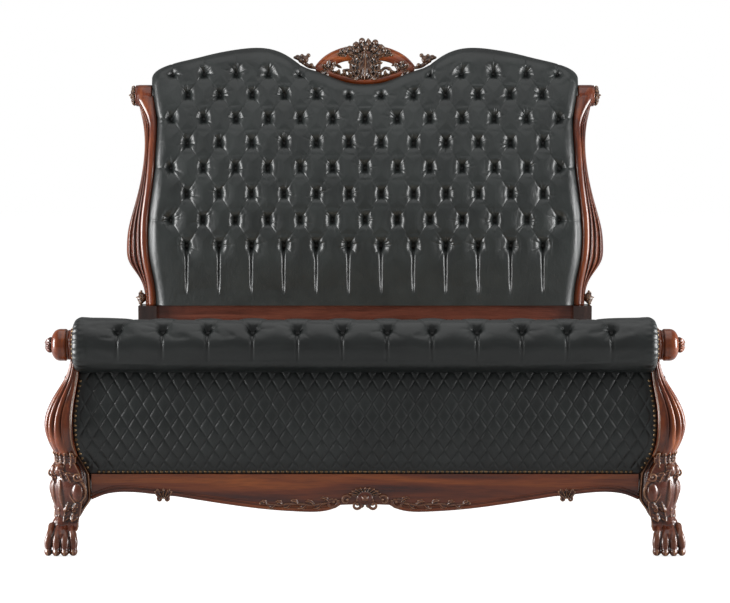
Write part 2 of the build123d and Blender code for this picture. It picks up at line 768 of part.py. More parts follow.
def crest_screw_places():
    """Screws through the crest's mounting plates: one into the crest, one into the back cover."""
    outer = Vector(0, crest_thickness + gap + plate_thickness, 0)
    places = []
    for side in (-1, 1):
        for z in (dip_z + crest_plate_rise / 2, dip_z - crest_plate_drop / 2):
            flat = Plane(origin=outer + Vector(side * crest_plate_x, 0, z), x_dir=(1, 0, 0), z_dir=(0, 1, 0))
            places.append(flat)
    return places


def crest_screws(grow=0.0):
    return Compound([lean_back(place * plate_screw(grow)) for place in crest_screw_places()])


def plate_screws():
    made = at_four_corners(end_screws).solids() + crest_screws().solids()
    return Compound(made)


def at_four_corners(make):
    """The piece that make(y_end, out) gives at both ends of both rails."""
    made = []
    for y_end, out in ((y_foot, -1), (y_head, 1)):
        piece = make(y_end, out)
        made += [piece, mirror(piece, about=Plane.YZ)]
    return Compound([solid for piece in made for solid in piece.solids()])


def slat_places():
    step = well_length / (slat_count + 1)
    return [y_foot + step * (1 + i) for i in range(slat_count)]


def slat_screw_places():
    x = well_half - screw_inset
    return [Pos(side * x, y, slat_top - gap) for y in slat_places() for side in (-1, 1)]


def slat_screw_holes():
    """The holes for the screws that hold the slats to the cleats, open at the top."""
    radius, head = screw_radius + screw_clearance, screw_head_radius + screw_clearance
    hole = flat_screw(radius, head, screw_sink, screw_length + screw_clearance)
    hole = hole + Pos(0, 0, slat_thickness / 2) * Cylinder(head, slat_thickness)
    return Compound([place * hole for place in slat_screw_places()])


def slats():
    half = well_half - 3
    made = []
    for y in slat_places():
        made.append(box(-half, half, y - slat_width / 2, y + slat_width / 2, slat_bottom, slat_top))
    return Compound(made) - slat_screw_holes()


def slat_screws():
    screw = flat_screw(screw_radius, screw_head_radius, screw_sink, screw_length)
    return Compound([place * screw for place in slat_screw_places()])


def centre_beam():
    top = slat_bottom - gap
    end = plate_thickness + 2 * gap
    half = beam_width / 2
    return box(-half, half, y_foot + end, y_head - end + core_back, top - beam_height, top)


def beam_brackets():
    """Steel saddles that carry the beam on the footboard and on the headboard's lower panel."""
    made = []
    top = slat_bottom - gap
    half = beam_width / 2
    y_panel = y_head + core_back
    for y0, y1, out in ((y_foot + gap, y_foot + 60, -1), (y_panel - 60, y_panel - gap, 1)):
        inner = box(-half - gap, half + gap, y0 - 5, y1 + 5, top - beam_height - gap, top + 5)
        saddle = box(-half - gap - 3, half + gap + 3, y0, y1, top - beam_height - gap - 3, top - 18) - inner
        wall_y = (y0, y0 + 3) if out < 0 else (y1 - 3, y1)
        wings = box(-half - 30, half + 30, *wall_y, top - beam_height + 6, top - 24) - inner
        made += [saddle + wings]
    return Compound([solid for bracket in made for solid in bracket.solids()])


def centre_leg_y(share):
    return y_foot + well_length * share


def centre_leg(share):
    """A square leg under the beam, bored for its levelling screw."""
    y, half = centre_leg_y(share), centre_leg_side / 2
    top = slat_bottom - gap - beam_height - gap
    leg = box(-half, half, y - half, y + half, leg_bottom, top)
    leg = fillet(leg.edges().filter_by(Axis.Z), 4)
    leg = leg - Pos(0, y, leg_bottom + insert_length / 2) * Cylinder(insert_radius + gap, insert_length + gap)
    bore = leveller_screw_length + leveller_travel + 8
    return leg - Pos(0, y, leg_bottom + bore / 2) * Cylinder(leveller_screw_radius + 1, bore)


def leveller_insert(share):
    """The flanged threaded insert in a centre leg's lower end."""
    y = centre_leg_y(share)
    flange = Pos(0, y, leg_bottom - gap - insert_flange / 2) * Cylinder(insert_flange_radius, insert_flange)
    barrel = Pos(0, y, leg_bottom - gap + insert_length / 2) * Cylinder(insert_radius, insert_length)
    bore = Pos(0, y, leg_bottom) * Cylinder(leveller_screw_radius + leveller_running, 4 * insert_length)
    return flange + barrel - bore


def leveller(share):
    """A levelling screw with its round foot, standing on the floor."""
    y = centre_leg_y(share)
    foot = Pos(0, y, leveller_foot_height / 2) * Cylinder(leveller_foot_radius, leveller_foot_height)
    foot = fillet(foot.edges().sort_by(Axis.Z)[-1], 3)
    screw = Pos(0, y, leveller_foot_height + leveller_screw_length / 2)
    return foot + screw * Cylinder(leveller_screw_radius, leveller_screw_length)


def head_glides():
    x = head_leg_x1 - head_leg_width / 2
    y = y_head + head_leg_depth / 2
    one = Pos(x, y, (glide_height - gap) / 2) * Cylinder(glide_radius, glide_height - gap)
    return Compound([*one.solids(), *mirror(one, about=Plane.YZ).solids()])


# ---------------------------------------------------------------- the assembly
def on_both_sides(name, solid):
    return {f"{name}_{side}": made for side, made in both_sides(solid).items()}


def headboard():
    post_x = post_outer[-1][1] + gap
    front, _ = at_height(head_curve(0), volute_height)
    base_front, _ = at_height(head_curve(0), base_rosette_z)
    top_place = Pos(post_x, front.Y + volute_radius, volute_height)
    base_place = Pos(post_outer[0][1] + 8, base_front.Y + base_rosette_radius + 6, base_rosette_z)
    base_rosette = rosette(base_rosette_radius, base_rosette_height)
    parts = {
        "headboard_core_board": head_core(),
        "headboard_tufted_pad": head_pad(),
        "headboard_back_cover": head_cover(),
        "headboard_lower_panel": head_lower_panel(),
        "headboard_buttons": head_buttons(),
        "headboard_crest": crest(),
        "crest_mounting_plates": crest_mounting_plates(),
        "headboard_leg_glides": head_glides(),
    }
    parts |= on_both_sides("headboard_post", head_post())
    parts |= on_both_sides("headboard_leg", head_leg())
    parts |= on_both_sides("headboard_top_rosette", top_place * rosette(rosette_radius, rosette_height))
    parts |= on_both_sides("headboard_base_rosette", base_place * base_rosette)
    parts |= on_both_sides("crest_tendril", lean_back(tendril()) - head_outline(-wide_gap))
    return parts


def footboard():
    parts = {
        "roll_leather_pad": roll_pad(),
        "roll_core": roll_core(),
        "roll_buttons": roll_buttons(),
        "footboard_core_board": foot_core(),
        "footboard_quilted_panel": quilted_panel(),
        "footboard_inner_cover": inner_cover(),
        "footboard_apron": apron(),
        "apron_cartouche": cartouche(),
        "footboard_nails": foot_nails(),
    }
    parts |= on_both_sides("footboard_post", foot_post())
    parts |= on_both_sides("footboard_corner_block", corner_block())
    parts |= on_both_sides("footboard_leaf_collar", leaf_collar())
    parts |= on_both_sides("footboard_paw_leg", paw_leg())
    parts |= on_both_sides("roll_finial", finial())
    parts |= on_both_sides("apron_shell", apron_shell())
    parts |= on_both_sides("apron_leaf_spray", apron_spray())
    return parts


def base():
    parts = {
        "rail_hook_plates": at_four_corners(hook_plate),
        "post_receiver_plates": at_four_corners(receiver_plate),
        "slats": slats(),
        "slat_screws": slat_screws(),
        "plate_screws": plate_screws(),
        "centre_beam": centre_beam(),
        "centre_beam_brackets": beam_brackets(),
    }
    parts |= on_both_sides("side_rail", side_rail())
    parts |= on_both_sides("rail_cleat", rail_cleat())
    for name, share in zip(("foot", "head"), centre_leg_places):
        parts[f"centre_leg_{name}"] = centre_leg(share)
        parts[f"leveller_insert_{name}"] = leveller_insert(share)
        parts[f"leveller_{name}"] = leveller(share)
    return parts


os.makedirs("parts", exist_ok=True)
for node, shape in (headboard() | footboard() | base()).items():
    export_step(shape, f"parts/{node}.step")
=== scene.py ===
from math import cos, hypot, pi, radians, sin

import bmesh
import bpy
import numpy as np
from mathutils import Matrix, Vector


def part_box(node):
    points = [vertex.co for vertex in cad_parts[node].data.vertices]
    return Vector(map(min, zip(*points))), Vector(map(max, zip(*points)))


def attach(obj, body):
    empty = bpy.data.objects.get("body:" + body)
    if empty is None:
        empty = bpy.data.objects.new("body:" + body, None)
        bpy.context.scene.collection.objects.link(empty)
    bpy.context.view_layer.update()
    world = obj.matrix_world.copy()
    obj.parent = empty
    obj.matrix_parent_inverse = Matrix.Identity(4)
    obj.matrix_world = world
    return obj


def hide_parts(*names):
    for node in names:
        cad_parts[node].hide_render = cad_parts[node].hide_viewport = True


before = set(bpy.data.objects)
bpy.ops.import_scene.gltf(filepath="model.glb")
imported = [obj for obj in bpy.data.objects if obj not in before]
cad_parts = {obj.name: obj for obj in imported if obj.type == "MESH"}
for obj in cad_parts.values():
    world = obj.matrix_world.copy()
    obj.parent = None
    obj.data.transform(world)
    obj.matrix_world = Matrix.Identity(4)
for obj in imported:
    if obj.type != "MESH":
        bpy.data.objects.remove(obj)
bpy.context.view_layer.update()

# A sleigh bed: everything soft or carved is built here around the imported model. Sizes are in metres.
rng = np.random.default_rng(7)

# ---------------------------------------------------------------- places, from the frame
Y_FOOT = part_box("footboard_inner_cover")[1][1]          # the footboard's inner face
Y_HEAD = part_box("headboard_leg_left")[0][1]             # the headboard's inner plane
ROLL_LOW, ROLL_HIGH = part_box("roll_leather_pad")
ROLL_Y = (ROLL_LOW[1] + ROLL_HIGH[1]) / 2
ROLL_Z = (ROLL_LOW[2] + ROLL_HIGH[2]) / 2
ROLL_RADIUS = (ROLL_HIGH[2] - ROLL_LOW[2]) / 2
ROLL_HALF = ROLL_HIGH[0]
PAD_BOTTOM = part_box("headboard_tufted_pad")[0][2]


# ---------------------------------------------------------------- curves that the model's pieces follow
def curve(*stations):
    """A smooth function through (position, value) stations."""
    xs, ys = np.array(stations, float).T
    count, step = len(xs), np.diff(xs)
    system, right = np.eye(count), np.zeros(count)
    for i in range(1, count - 1):
        system[i, i - 1:i + 2] = step[i - 1], 2 * (step[i - 1] + step[i]), step[i]
        right[i] = 6 * ((ys[i + 1] - ys[i]) / step[i] - (ys[i] - ys[i - 1]) / step[i - 1])
    bend = np.linalg.solve(system, right)

    def at(x):
        x = np.clip(np.asarray(x, float), xs[0], xs[-1])
        i = np.clip(np.searchsorted(xs, x) - 1, 0, count - 2)
        low, high, h = x - xs[i], xs[i + 1] - x, step[i]
        cubic = (bend[i] * high**3 + bend[i + 1] * low**3) / (6 * h)
        return cubic + (ys[i] / h - bend[i] * h / 6) * high + (ys[i + 1] / h - bend[i + 1] * h / 6) * low

    return at


# Distances against height: the headboard's lean and its posts' edges, then the footboard's and the legs'.
lean = curve((0.684, 0.040), (0.880, 0.030), (1.025, 0.030), (1.168, 0.038), (1.311, 0.058), (1.450, 0.086),
             (1.606, 0.124), (1.735, 0.158), (1.920, 0.212))
head_inner = curve((0.684, 0.966), (0.771, 0.971), (0.880, 0.991), (0.951, 0.999), (1.025, 1.000),
                   (1.096, 0.996), (1.168, 0.987), (1.311, 0.971), (1.400, 0.966), (1.527, 0.963),
                   (1.606, 0.974), (1.702, 0.990))
head_outer = curve((0.684, 1.019), (0.760, 1.027), (0.808, 1.047), (0.880, 1.094), (0.951, 1.104),
                   (1.025, 1.098), (1.096, 1.081), (1.168, 1.060), (1.311, 1.030), (1.400, 1.022),
                   (1.527, 1.032), (1.606, 1.050), (1.702, 1.064))
quilt_front = curve((0.276, 0.129), (0.330, 0.150), (0.400, 0.164), (0.460, 0.166), (0.520, 0.156),
                    (0.580, 0.137), (0.660, 0.112))
foot_inner = curve((0.276, 0.966), (0.344, 1.004), (0.380, 1.015), (0.440, 1.021), (0.520, 1.018),
                   (0.590, 1.008), (0.676, 1.001))
foot_outer = curve((0.344, 1.094), (0.380, 1.112), (0.440, 1.129), (0.500, 1.119), (0.560, 1.088),
                   (0.620, 1.052), (0.676, 1.036))
foot_front = curve((0.344, 0.176), (0.390, 0.196), (0.440, 0.204), (0.500, 0.198), (0.560, 0.178),
                   (0.620, 0.158), (0.676, 0.150))
leg_inner = curve((0, 1.003), (0.050, 1.001), (0.100, 1.004), (0.128, 1.000), (0.180, 0.988), (0.235, 0.984),
                  (0.290, 0.996), (0.320, 1.014))
leg_outer = curve((0, 1.114), (0.025, 1.118), (0.076, 1.108), (0.100, 1.090), (0.128, 1.087), (0.180, 1.100),
                  (0.235, 1.106), (0.320, 1.096))
leg_front = curve((0, 0.222), (0.040, 0.224), (0.076, 0.204), (0.105, 0.171), (0.128, 0.166), (0.190, 0.192),
                  (0.240, 0.203), (0.320, 0.172))


# ---------------------------------------------------------------- forms: vertices and faces
def grid(points, closed=True):
    """A form over a grid of points [u, v, xyz]. A closed one joins up along v and is capped at both ends."""
    index = np.arange(points.shape[0] * points.shape[1]).reshape(points.shape[:2])
    if closed:
        index = np.hstack([index, index[:, :1]])
    corners = index[:-1, :-1], index[1:, :-1], index[1:, 1:], index[:-1, 1:]
    faces = np.stack(corners, -1).reshape(-1, 4).tolist()
    if closed:
        faces += [index[0, :-1][::-1].tolist(), index[-1, :-1].tolist()]
    return points.reshape(-1, 3), faces


def sections(x, y, z):
    """A closed form over rows of outline points x and y, one row at each height in the column z."""
    return grid(np.stack([x, y, np.broadcast_to(z, x.shape)], -1))


def join(*forms):
    points, faces, shift = [], [], 0
    for form_points, form_faces in forms:
        points.append(form_points)
        faces += [[i + shift for i in face] for face in form_faces]
        shift += len(form_points)
    return np.vstack(points), faces


def mirrored(form):
    points, faces = form
    return points * (-1, 1, 1), [face[::-1] for face in faces]


def moved(form, matrix):
    points, faces = form
    m = np.array(matrix)
    return points @ m[:3, :3].T + m[:3, 3], faces


def shifted(form, *by):
    return form[0] + np.array(by), form[1]


def turned_to(form, start, end, place):
    """Turns a form so that what pointed along start points along end, and puts it in its place."""
    turn = Vector(start).rotation_difference(Vector(end)).to_matrix().to_4x4()
    return moved(form, Matrix.Translation(Vector(place)) @ turn)


def unit(v):
    v = np.asarray(v, float)
    return v / np.maximum(np.linalg.norm(v, axis=-1, keepdims=True), 1e-9)


def smooth_path(points, count):
    """Evenly spaced points on a smooth curve through the given ones."""
    points = np.array(points, float)
    chord = np.concatenate([[0], np.cumsum(np.linalg.norm(np.diff(points, axis=0), axis=1))])
    parts = [curve(*zip(chord, points[:, k])) for k in range(points.shape[1])]
    fine = np.stack([part(np.linspace(0, chord[-1], 8 * count)) for part in parts], -1)
    length = np.concatenate([[0], np.cumsum(np.linalg.norm(np.diff(fine, axis=0), axis=1))])
    even = np.linspace(0, length[-1], count)
    return np.stack([np.interp(even, length, fine[:, k]) for k in range(points.shape[1])], -1)


def flat_points(points, y=0.0):
    return [(x, y, z) for x, z in points]


def across_and_out(path, face):
    """Directions across a path and out of its face, at each of its points."""
    along, face = unit(np.gradient(path, axis=0)), np.array(face, float)
    front = unit(face - (along @ face)[:, None] * along)
    return np.cross(along, front), front


def tube(path, radii, sides=12, flat=1.0, face=(0, -1, 0)):
    """A closed tube along a path. flat squeezes it along the direction it faces."""
    path = np.array(path, float)
    side, front = across_and_out(path, face)
    angle = np.linspace(0, 2 * pi, sides, endpoint=False)
    ring = side[:, None] * np.cos(angle)[None, :, None] + front[:, None] * flat * np.sin(angle)[None, :, None]
    return grid(path[:, None] + ring * np.broadcast_to(radii, len(path))[:, None, None])


def taper(count, ends=(0.2, 0.2), middle=1.0, share=0.3):
    """Radii that swell from both ends to the middle."""
    t = np.linspace(0, 1, count)
    start = ends[0] + (middle - ends[0]) * np.sqrt(np.clip(t / share, 0, 1))
    finish = ends[1] + (middle - ends[1]) * np.sqrt(np.clip((1 - t) / share, 0, 1))
    return np.minimum(start, finish)


def ball(centre, radii, rings=10, sides=16):
    lat = np.linspace(-pi / 2 + 0.05, pi / 2 - 0.05, rings)[:, None]
    lon = np.linspace(0, 2 * pi, sides, endpoint=False)
    points = np.stack([np.cos(lat) * np.cos(lon), np.cos(lat) * np.sin(lon), np.sin(lat) * np.ones(sides)],
                      -1)
    return grid(points * np.broadcast_to(radii, (3,)) + np.array(centre))


def turned(profile, sides=48):
    """A form turned about X from (x, radius) stations."""
    x, r = np.array(profile, float).T[..., None]
    angle = np.linspace(0, 2 * pi, sides, endpoint=False)
    r = np.maximum(r, 0.0004)
    return grid(np.stack([np.broadcast_to(x, (len(x), sides)), r * np.cos(angle), r * np.sin(angle)], -1))


def leaf(path, width, thickness=0.006, lobes=4, face=(0, -1, 0), cup=0.35, rows=28, across=13):
    """A carved leaf: lobed edges, a raised midrib, hollows beside it, and a closed back."""
    spine = smooth_path(path, rows)
    side, front = across_and_out(spine, face)
    t, s = np.linspace(0, 1, rows)[:, None], np.linspace(-1, 1, across)
    outline = np.sin(pi * np.clip(t * 0.86 + 0.12, 0, 1)) ** 0.8
    teeth = 0.74 + 0.26 * np.abs(np.sin(pi * lobes * (t + 0.06)))
    rib = 0.9 * np.exp(-(s / 0.16) ** 2)
    veins = 0.16 * np.cos(2 * pi * lobes * (t + 0.25 * np.abs(s)))
    height = thickness * (rib + veins * (np.abs(s) > 0.2)) - cup * (s**2) * width * 0.5 * outline
    out = (width / 2 * outline * teeth * s)[..., None]
    top = spine[:, None] + side[:, None] * out + front[:, None] * height[..., None]
    bottom = top - front[:, None] * (thickness * (1.4 - 0.8 * np.abs(s)))[None, :, None]
    return grid(np.concatenate([top, bottom[:, ::-1]], 1))


def scroll(centre, start, end, r0, r1, thick, face=(0, -1, 0)):
    """A carved scroll against the X-Z plane: a spiral band that thins out and ends in a small ball."""
    a, r = np.radians(np.linspace(start, end, 40)), np.linspace(r0, r1, 40)
    path = np.array(centre) + np.stack([r * np.cos(a), 0 * r, r * np.sin(a)], -1)
    return join(tube(path, thick * np.linspace(1.0, 0.55, 40), 10, 0.8, face), ball(path[-1], thick * 0.95))


# ---------------------------------------------------------------- Blender pieces
def mesh_object(name, form, material):
    points, faces = form
    mesh = bpy.data.meshes.new(name)
    mesh.from_pydata(points.tolist(), [], faces)
    shape = bmesh.new()
    shape.from_mesh(mesh)
    bmesh.ops.recalc_face_normals(shape, faces=shape.faces)
    shape.to_mesh(mesh)
    shape.free()
    mesh.shade_smooth()
    mesh.materials.append(material)
    made = bpy.data.objects.new(name, mesh)
    bpy.context.scene.collection.objects.link(made)
    return made


def settle(made):
    """Applies an object's modifiers."""
    graph = bpy.context.evaluated_depsgraph_get()
    mesh = bpy.data.meshes.new_from_object(made.evaluated_get(graph))
    made.modifiers.clear()
    made.data = mesh


def fuse(made, voxel, soften=2):
    """Melts overlapping forms into one carved surface."""
    remesh = made.modifiers.new("fuse", "REMESH")
    remesh.mode = "VOXEL"
    remesh.voxel_size = voxel
    remesh.use_smooth_shade = True
    smooth = made.modifiers.new("soften", "SMOOTH")
    smooth.factor = 0.5
    smooth.iterations = soften
    settle(made)


def add(name, form, material, slot, *nodes, voxel=0.0, soften=2):
    """Makes a piece, fixes it to the frame, gives it its material and hides the nodes it stands for."""
    made = mesh_object(name, form, material)
    if voxel:
        fuse(made, voxel, soften)
    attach(made, "frame")
    if nodes:
        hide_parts(*nodes)
    return made


def add_pair(name, form, material, slot, node="", voxel=0.0, soften=2):
    """The right and left copies of a piece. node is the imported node's name without its side."""
    for side, half in (("right", form), ("left", mirrored(form))):
        nodes = [f"{node}_{side}"] if node else []
        add(f"{name}_{side}", half, material, slot, *nodes, voxel=voxel, soften=soften)


# ---------------------------------------------------------------- materials
class Nodes:
    """A material's node tree, with short ways to add what every finish here uses."""

    def __init__(self, name):
        self.material = bpy.data.materials.new(name)
        self.material.use_nodes = True
        self.tree = self.material.node_tree
        self.shader = self.tree.nodes["Principled BSDF"]
        self.place = self.node("ShaderNodeTexCoord").outputs["Object"]

    def node(self, kind, **settings):
        made = self.tree.nodes.new(kind)
        for key, value in settings.items():
            if key in made.inputs:
                made.inputs[key].default_value = value
            else:
                setattr(made, key, value)
        return made

    def link(self, source, target):
        self.tree.links.new(source, target)

    def texture(self, kind, stretch=(1, 1, 1), **settings):
        """A texture over the object's own coordinates, stretched along its axes."""
        mapping, made = self.node("ShaderNodeMapping", Scale=stretch), self.node(kind, **settings)
        self.link(self.place, mapping.inputs["Vector"])
        self.link(mapping.outputs[0], made.inputs["Vector"])
        return made

    def noise(self, scale, detail=4.0, distortion=0.0, stretch=(1, 1, 1)):
        made = self.texture("ShaderNodeTexNoise", stretch, Scale=scale, Detail=detail, Distortion=distortion)
        return made.outputs["Fac"]

    def ramp(self, value, *stops):
        made = self.node("ShaderNodeValToRGB")
        elements = made.color_ramp.elements
        while len(elements) < len(stops):
            elements.new(0.5)
        for element, (position, colour) in zip(elements, stops):
            element.position = position
            element.color = (*colour, 1)
        self.link(value, made.inputs["Fac"])
        return made.outputs["Color"]

    def mixed(self, share, a, b, blend="MIX"):
        made = self.node("ShaderNodeMix", data_type="RGBA", blend_type=blend)
        for socket, value in ((made.inputs[0], share), (made.inputs[6], a), (made.inputs[7], b)):
            if isinstance(value, (tuple, float)):
                socket.default_value = (*value, 1) if isinstance(value, tuple) else value
            else:
                self.link(value, socket)
        return made.outputs[2]

    def rough(self, value, low, high):
        """Roughness from low to high as a value goes from 0 to 1."""
        made = self.node("ShaderNodeMapRange", **{"To Min": low, "To Max": high})
        self.link(value, made.inputs["Value"])
        self.link(made.outputs[0], self.shader.inputs["Roughness"])

    def bump(self, *layers):
        """Stacks bumps given as (height, strength, distance)."""
        last = None
        for height, strength, distance in layers:
            made = self.node("ShaderNodeBump", Strength=strength, Distance=distance)
            self.link(height, made.inputs["Height"])
            if last:
                self.link(last, made.inputs["Normal"])
            last = made.outputs[0]
        self.link(last, self.shader.inputs["Normal"])

    def hollows(self, reach):
        """An ambient occlusion value that is low in hollows narrower than the reach; the wood finishes paint
        shade with it.
        """
        return self.node("ShaderNodeAmbientOcclusion", Distance=reach, samples=8,
                         only_local=True).outputs["AO"]

    def colour(self, source):
        self.link(source, self.shader.inputs["Base Color"])

    def gloss(self, coat=0.0, coat_roughness=0.1, metallic=0.0, specular=0.5):
        self.shader.inputs["Coat Weight"].default_value = coat
        self.shader.inputs["Coat Roughness"].default_value = coat_roughness
        self.shader.inputs["Metallic"].default_value = metallic
        self.shader.inputs["Specular IOR Level"].default_value = specular


def leather(name, dark, light, rough=(0.30, 0.44), crease=0.35):
    """Leather with soft folds and fine pores."""
    n = Nodes(name)
    n.colour(n.ramp(n.noise(7.0, 5.0), (0.3, dark), (0.7, light)))
    n.rough(n.noise(38.0, 3.0), *rough)
    pores = n.texture("ShaderNodeTexVoronoi", Scale=620.0).outputs["Distance"]
    folds = n.noise(42.0, 6.0, 0.8, (1, 1, 0.7))
    n.bump((folds, crease, 0.0035), (pores, 0.22, 0.0006))
    n.gloss()
    return n.material


GRAIN = {"x": (1.2, 22, 22), "y": (22, 1.2, 22), "z": (22, 22, 1.2)}
BLACK, WHITE = (0.0, 0.0, 0.0), (1, 1, 1)


def wood_grain(n, along, share, figure, fibre):
    """A broad figure and a fine fibre along an axis. Each is (scale, detail, distortion)."""
    broad = tuple(share * size for size in GRAIN[along])
    return n.noise(*figure, stretch=broad), n.noise(*fibre, stretch=GRAIN[along])


def wood(name, along, dark, mid, light):
    """Stained, lacquered wood with its grain along an axis, and painted shade that darkens its hollows."""
    n = Nodes(name)
    figure, fibre = wood_grain(n, along, 0.25, (4.0, 6.0, 0.9), (14.0, 5.0, 0.2))
    base = n.ramp(figure, (0.28, dark), (0.5, mid), (0.74, light))
    base = n.mixed(0.55, base, n.ramp(fibre, (0.35, (0.42, 0.38, 0.36)), (0.65, WHITE)), "MULTIPLY")
    # painted shade: ambient occlusion blends the colour towards a near-black shade colour in hollows
    shade = n.ramp(n.hollows(0.03), (0.35, WHITE), (0.92, BLACK))
    n.colour(n.mixed(n.mixed(0.75, BLACK, shade), base, (0.012, 0.005, 0.003)))
    n.rough(figure, 0.18, 0.30)
    n.bump((fibre, 0.08, 0.0008))
    n.gloss(coat=0.22, coat_roughness=0.12)
    return n.material


def carved(name, deep, mid, high):
    """Carved wood: painted shade makes it near black in its hollows, it is stained on its slopes, and painted
    highlights make it pale on its crests.
    """
    n = Nodes(name)
    edge = n.node("ShaderNodeNewGeometry").outputs["Pointiness"]
    tone = n.noise(45.0, 5.0, 0.4)
    # painted shade and painted highlight: pointiness takes the colour from deep in concave parts, through
    # mid, to high on crests
    base = n.ramp(edge, (0.46, deep), (0.507, mid), (0.61, high))
    base = n.mixed(0.5, base, n.ramp(tone, (0.3, (0.45, 0.40, 0.36)), (0.7, WHITE)), "MULTIPLY")
    # painted shade: ambient occlusion blends the colour towards deep in hollows
    n.colour(n.mixed(n.ramp(n.hollows(0.018), (0.30, WHITE), (0.85, BLACK)), base, deep))
    n.rough(tone, 0.20, 0.36)
    n.bump((tone, 0.15, 0.001))
    n.gloss(coat=0.28, coat_roughness=0.15)
    return n.material


def timber(name, dark, light, along):
    """Planed, unfinished wood."""
    n = Nodes(name)
    figure, fibre = wood_grain(n, along, 0.3, (5.0, 6.0, 1.2), (18.0, 4.0, 0.0))
    n.colour(n.mixed(0.4, *(n.ramp(tone, (0.3, dark), (0.7, light)) for tone in (figure, fibre))))
    n.rough(figure, 0.5, 0.7)
    n.bump((fibre, 0.2, 0.001))
    n.gloss(specular=0.4)
    return n.material


def metal(name, dark, light, rough=(0.25, 0.45), brushed=(1, 1, 1)):
    n = Nodes(name)
    wear = n.noise(90.0, stretch=brushed)
    n.colour(n.ramp(wear, (0.3, dark), (0.7, light)))
    n.rough(wear, *rough)
    n.bump((wear, 0.08, 0.0005))
    n.gloss(metallic=1.0)
    return n.material


def plastic(name, dark, light):
    n = Nodes(name)
    tone = n.noise(60.0)
    n.colour(n.ramp(tone, (0.3, dark), (0.7, light)))
    n.rough(tone, 0.45, 0.6)
    n.bump((n.noise(900.0), 0.1, 0.0003))
    return n.material


CHERRY = ((0.055, 0.008, 0.003), (0.175, 0.033, 0.005), (0.33, 0.083, 0.011))
black_leather = leather("black_leather", (0.008, 0.0098, 0.0096), (0.015, 0.018, 0.0175))
button_leather = leather("button_leather", (0.004, 0.005, 0.005), (0.007, 0.008, 0.008), (0.6, 0.75),
                         crease=0.1)
plain_leather = leather("plain_leather", (0.012, 0.013, 0.014), (0.022, 0.024, 0.025), (0.4, 0.55))
cherry_up = wood("cherry_upright", "z", *CHERRY)
cherry_across = wood("cherry_across", "x", *CHERRY)
cherry_along = wood("cherry_along", "y", *CHERRY)
cherry_head = wood("cherry_head", "z", (0.040, 0.007, 0.003), (0.120, 0.024, 0.007), (0.21, 0.055, 0.014))
cherry_panel = wood("cherry_panel", "x", (0.030, 0.010, 0.007), (0.075, 0.022, 0.014), (0.115, 0.037, 0.022))
# In each carved finish the first colour is painted shade, the middle one the stain and the last a painted
# highlight.
carved_cherry = carved("carved_cherry", (0.012, 0.004, 0.002), (0.100, 0.019, 0.006), (0.62, 0.36, 0.18))
dark_carving = carved("dark_carving", (0.010, 0.006, 0.004), (0.060, 0.022, 0.010), (0.36, 0.22, 0.12))
dark_timber = wood("dark_timber", "z", (0.012, 0.007, 0.006), (0.022, 0.012, 0.010), (0.035, 0.018, 0.014))
INNER_TIMBER = ((0.34, 0.21, 0.11), (0.55, 0.38, 0.22))
inner_across = timber("inner_timber_across", *INNER_TIMBER, "x")
inner_along = timber("inner_timber_along", *INNER_TIMBER, "y")
slat_pine = timber("slat_pine", (0.55, 0.37, 0.19), (0.74, 0.55, 0.33), "x")
antique_nail = metal("antique_nail", (0.08, 0.05, 0.026), (0.24, 0.16, 0.085), (0.25, 0.4))
zinc = metal("zinc_plate", (0.45, 0.45, 0.46), (0.62, 0.62, 0.64), brushed=(1, 1, 0.1))
leveller_steel = metal("leveller_plate", (0.30, 0.30, 0.31), (0.45, 0.45, 0.47))
screw_steel = metal("screw_passivated", (0.42, 0.36, 0.20), (0.60, 0.54, 0.34))
glide_nylon = plastic("glide_nylon", (0.04, 0.04, 0.04), (0.08, 0.08, 0.08))

NODE_FINISH = {
    "headboard_lower_panel": cherry_panel, "footboard_apron": cherry_across, "side_rail": cherry_along,
    "rail_cleat": inner_along, "headboard_core_board": inner_across, "footboard_core_board": inner_across,
    "roll_core": inner_across, "centre_beam_brackets": zinc, "centre_beam": inner_along, "slats": slat_pine,
    "centre_leg": dark_timber, "headboard_leg_glides": glide_nylon, "headboard_leg": dark_timber,
    "footboard_corner_block": cherry_panel, "leveller_insert": zinc, "leveller": leveller_steel,
    "rail_hook_plates": zinc, "post_receiver_plates": zinc, "crest_mounting_plates": zinc,
    "slat_screws": screw_steel, "plate_screws": screw_steel,
    "footboard_nails": antique_nail, "headboard_back_cover": plain_leather,
    "footboard_inner_cover": plain_leather,
}


def finish_nodes():
    """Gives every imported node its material. The longest matching name wins."""
    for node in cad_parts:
        matches = [key for key in NODE_FINISH if node.startswith(key)]
        if matches:
            materials = bpy.data.objects[node].data.materials
            materials.clear()
            materials.append(NODE_FINISH[max(matches, key=len)])


finish_nodes()


# ---------------------------------------------------------------- tufting
def to_button(x, s, button):
    return np.hypot(x - button[0], 0.84 * (s - button[1]))


def to_fold(x, s, fold):
    """Distance from points to a fold, which is a straight line between two places."""
    (start_x, start_s), (end_x, end_s) = fold
    dx, ds = end_x - start_x, end_s - start_s
    t = np.clip(((x - start_x) * dx + (s - start_s) * ds) / (dx * dx + ds * ds), 0, 1)
    return np.hypot(x - start_x - t * dx, s - start_s - t * ds)


def nearest(x, s, items, distance, reach=0.10):
    """The distance to the nearest item, worked out only near each one."""
    best = np.full(x.shape, reach)
    for item in items:
        ends = np.reshape(item, (-1, 2))
        (low_x, low_s), (high_x, high_s) = ends.min(0) - reach, ends.max(0) + reach
        near = (x > low_x) & (x < high_x) & (s > low_s) & (s < high_s)
        best[near] = np.minimum(best[near], distance(x[near], s[near], item))
    return best


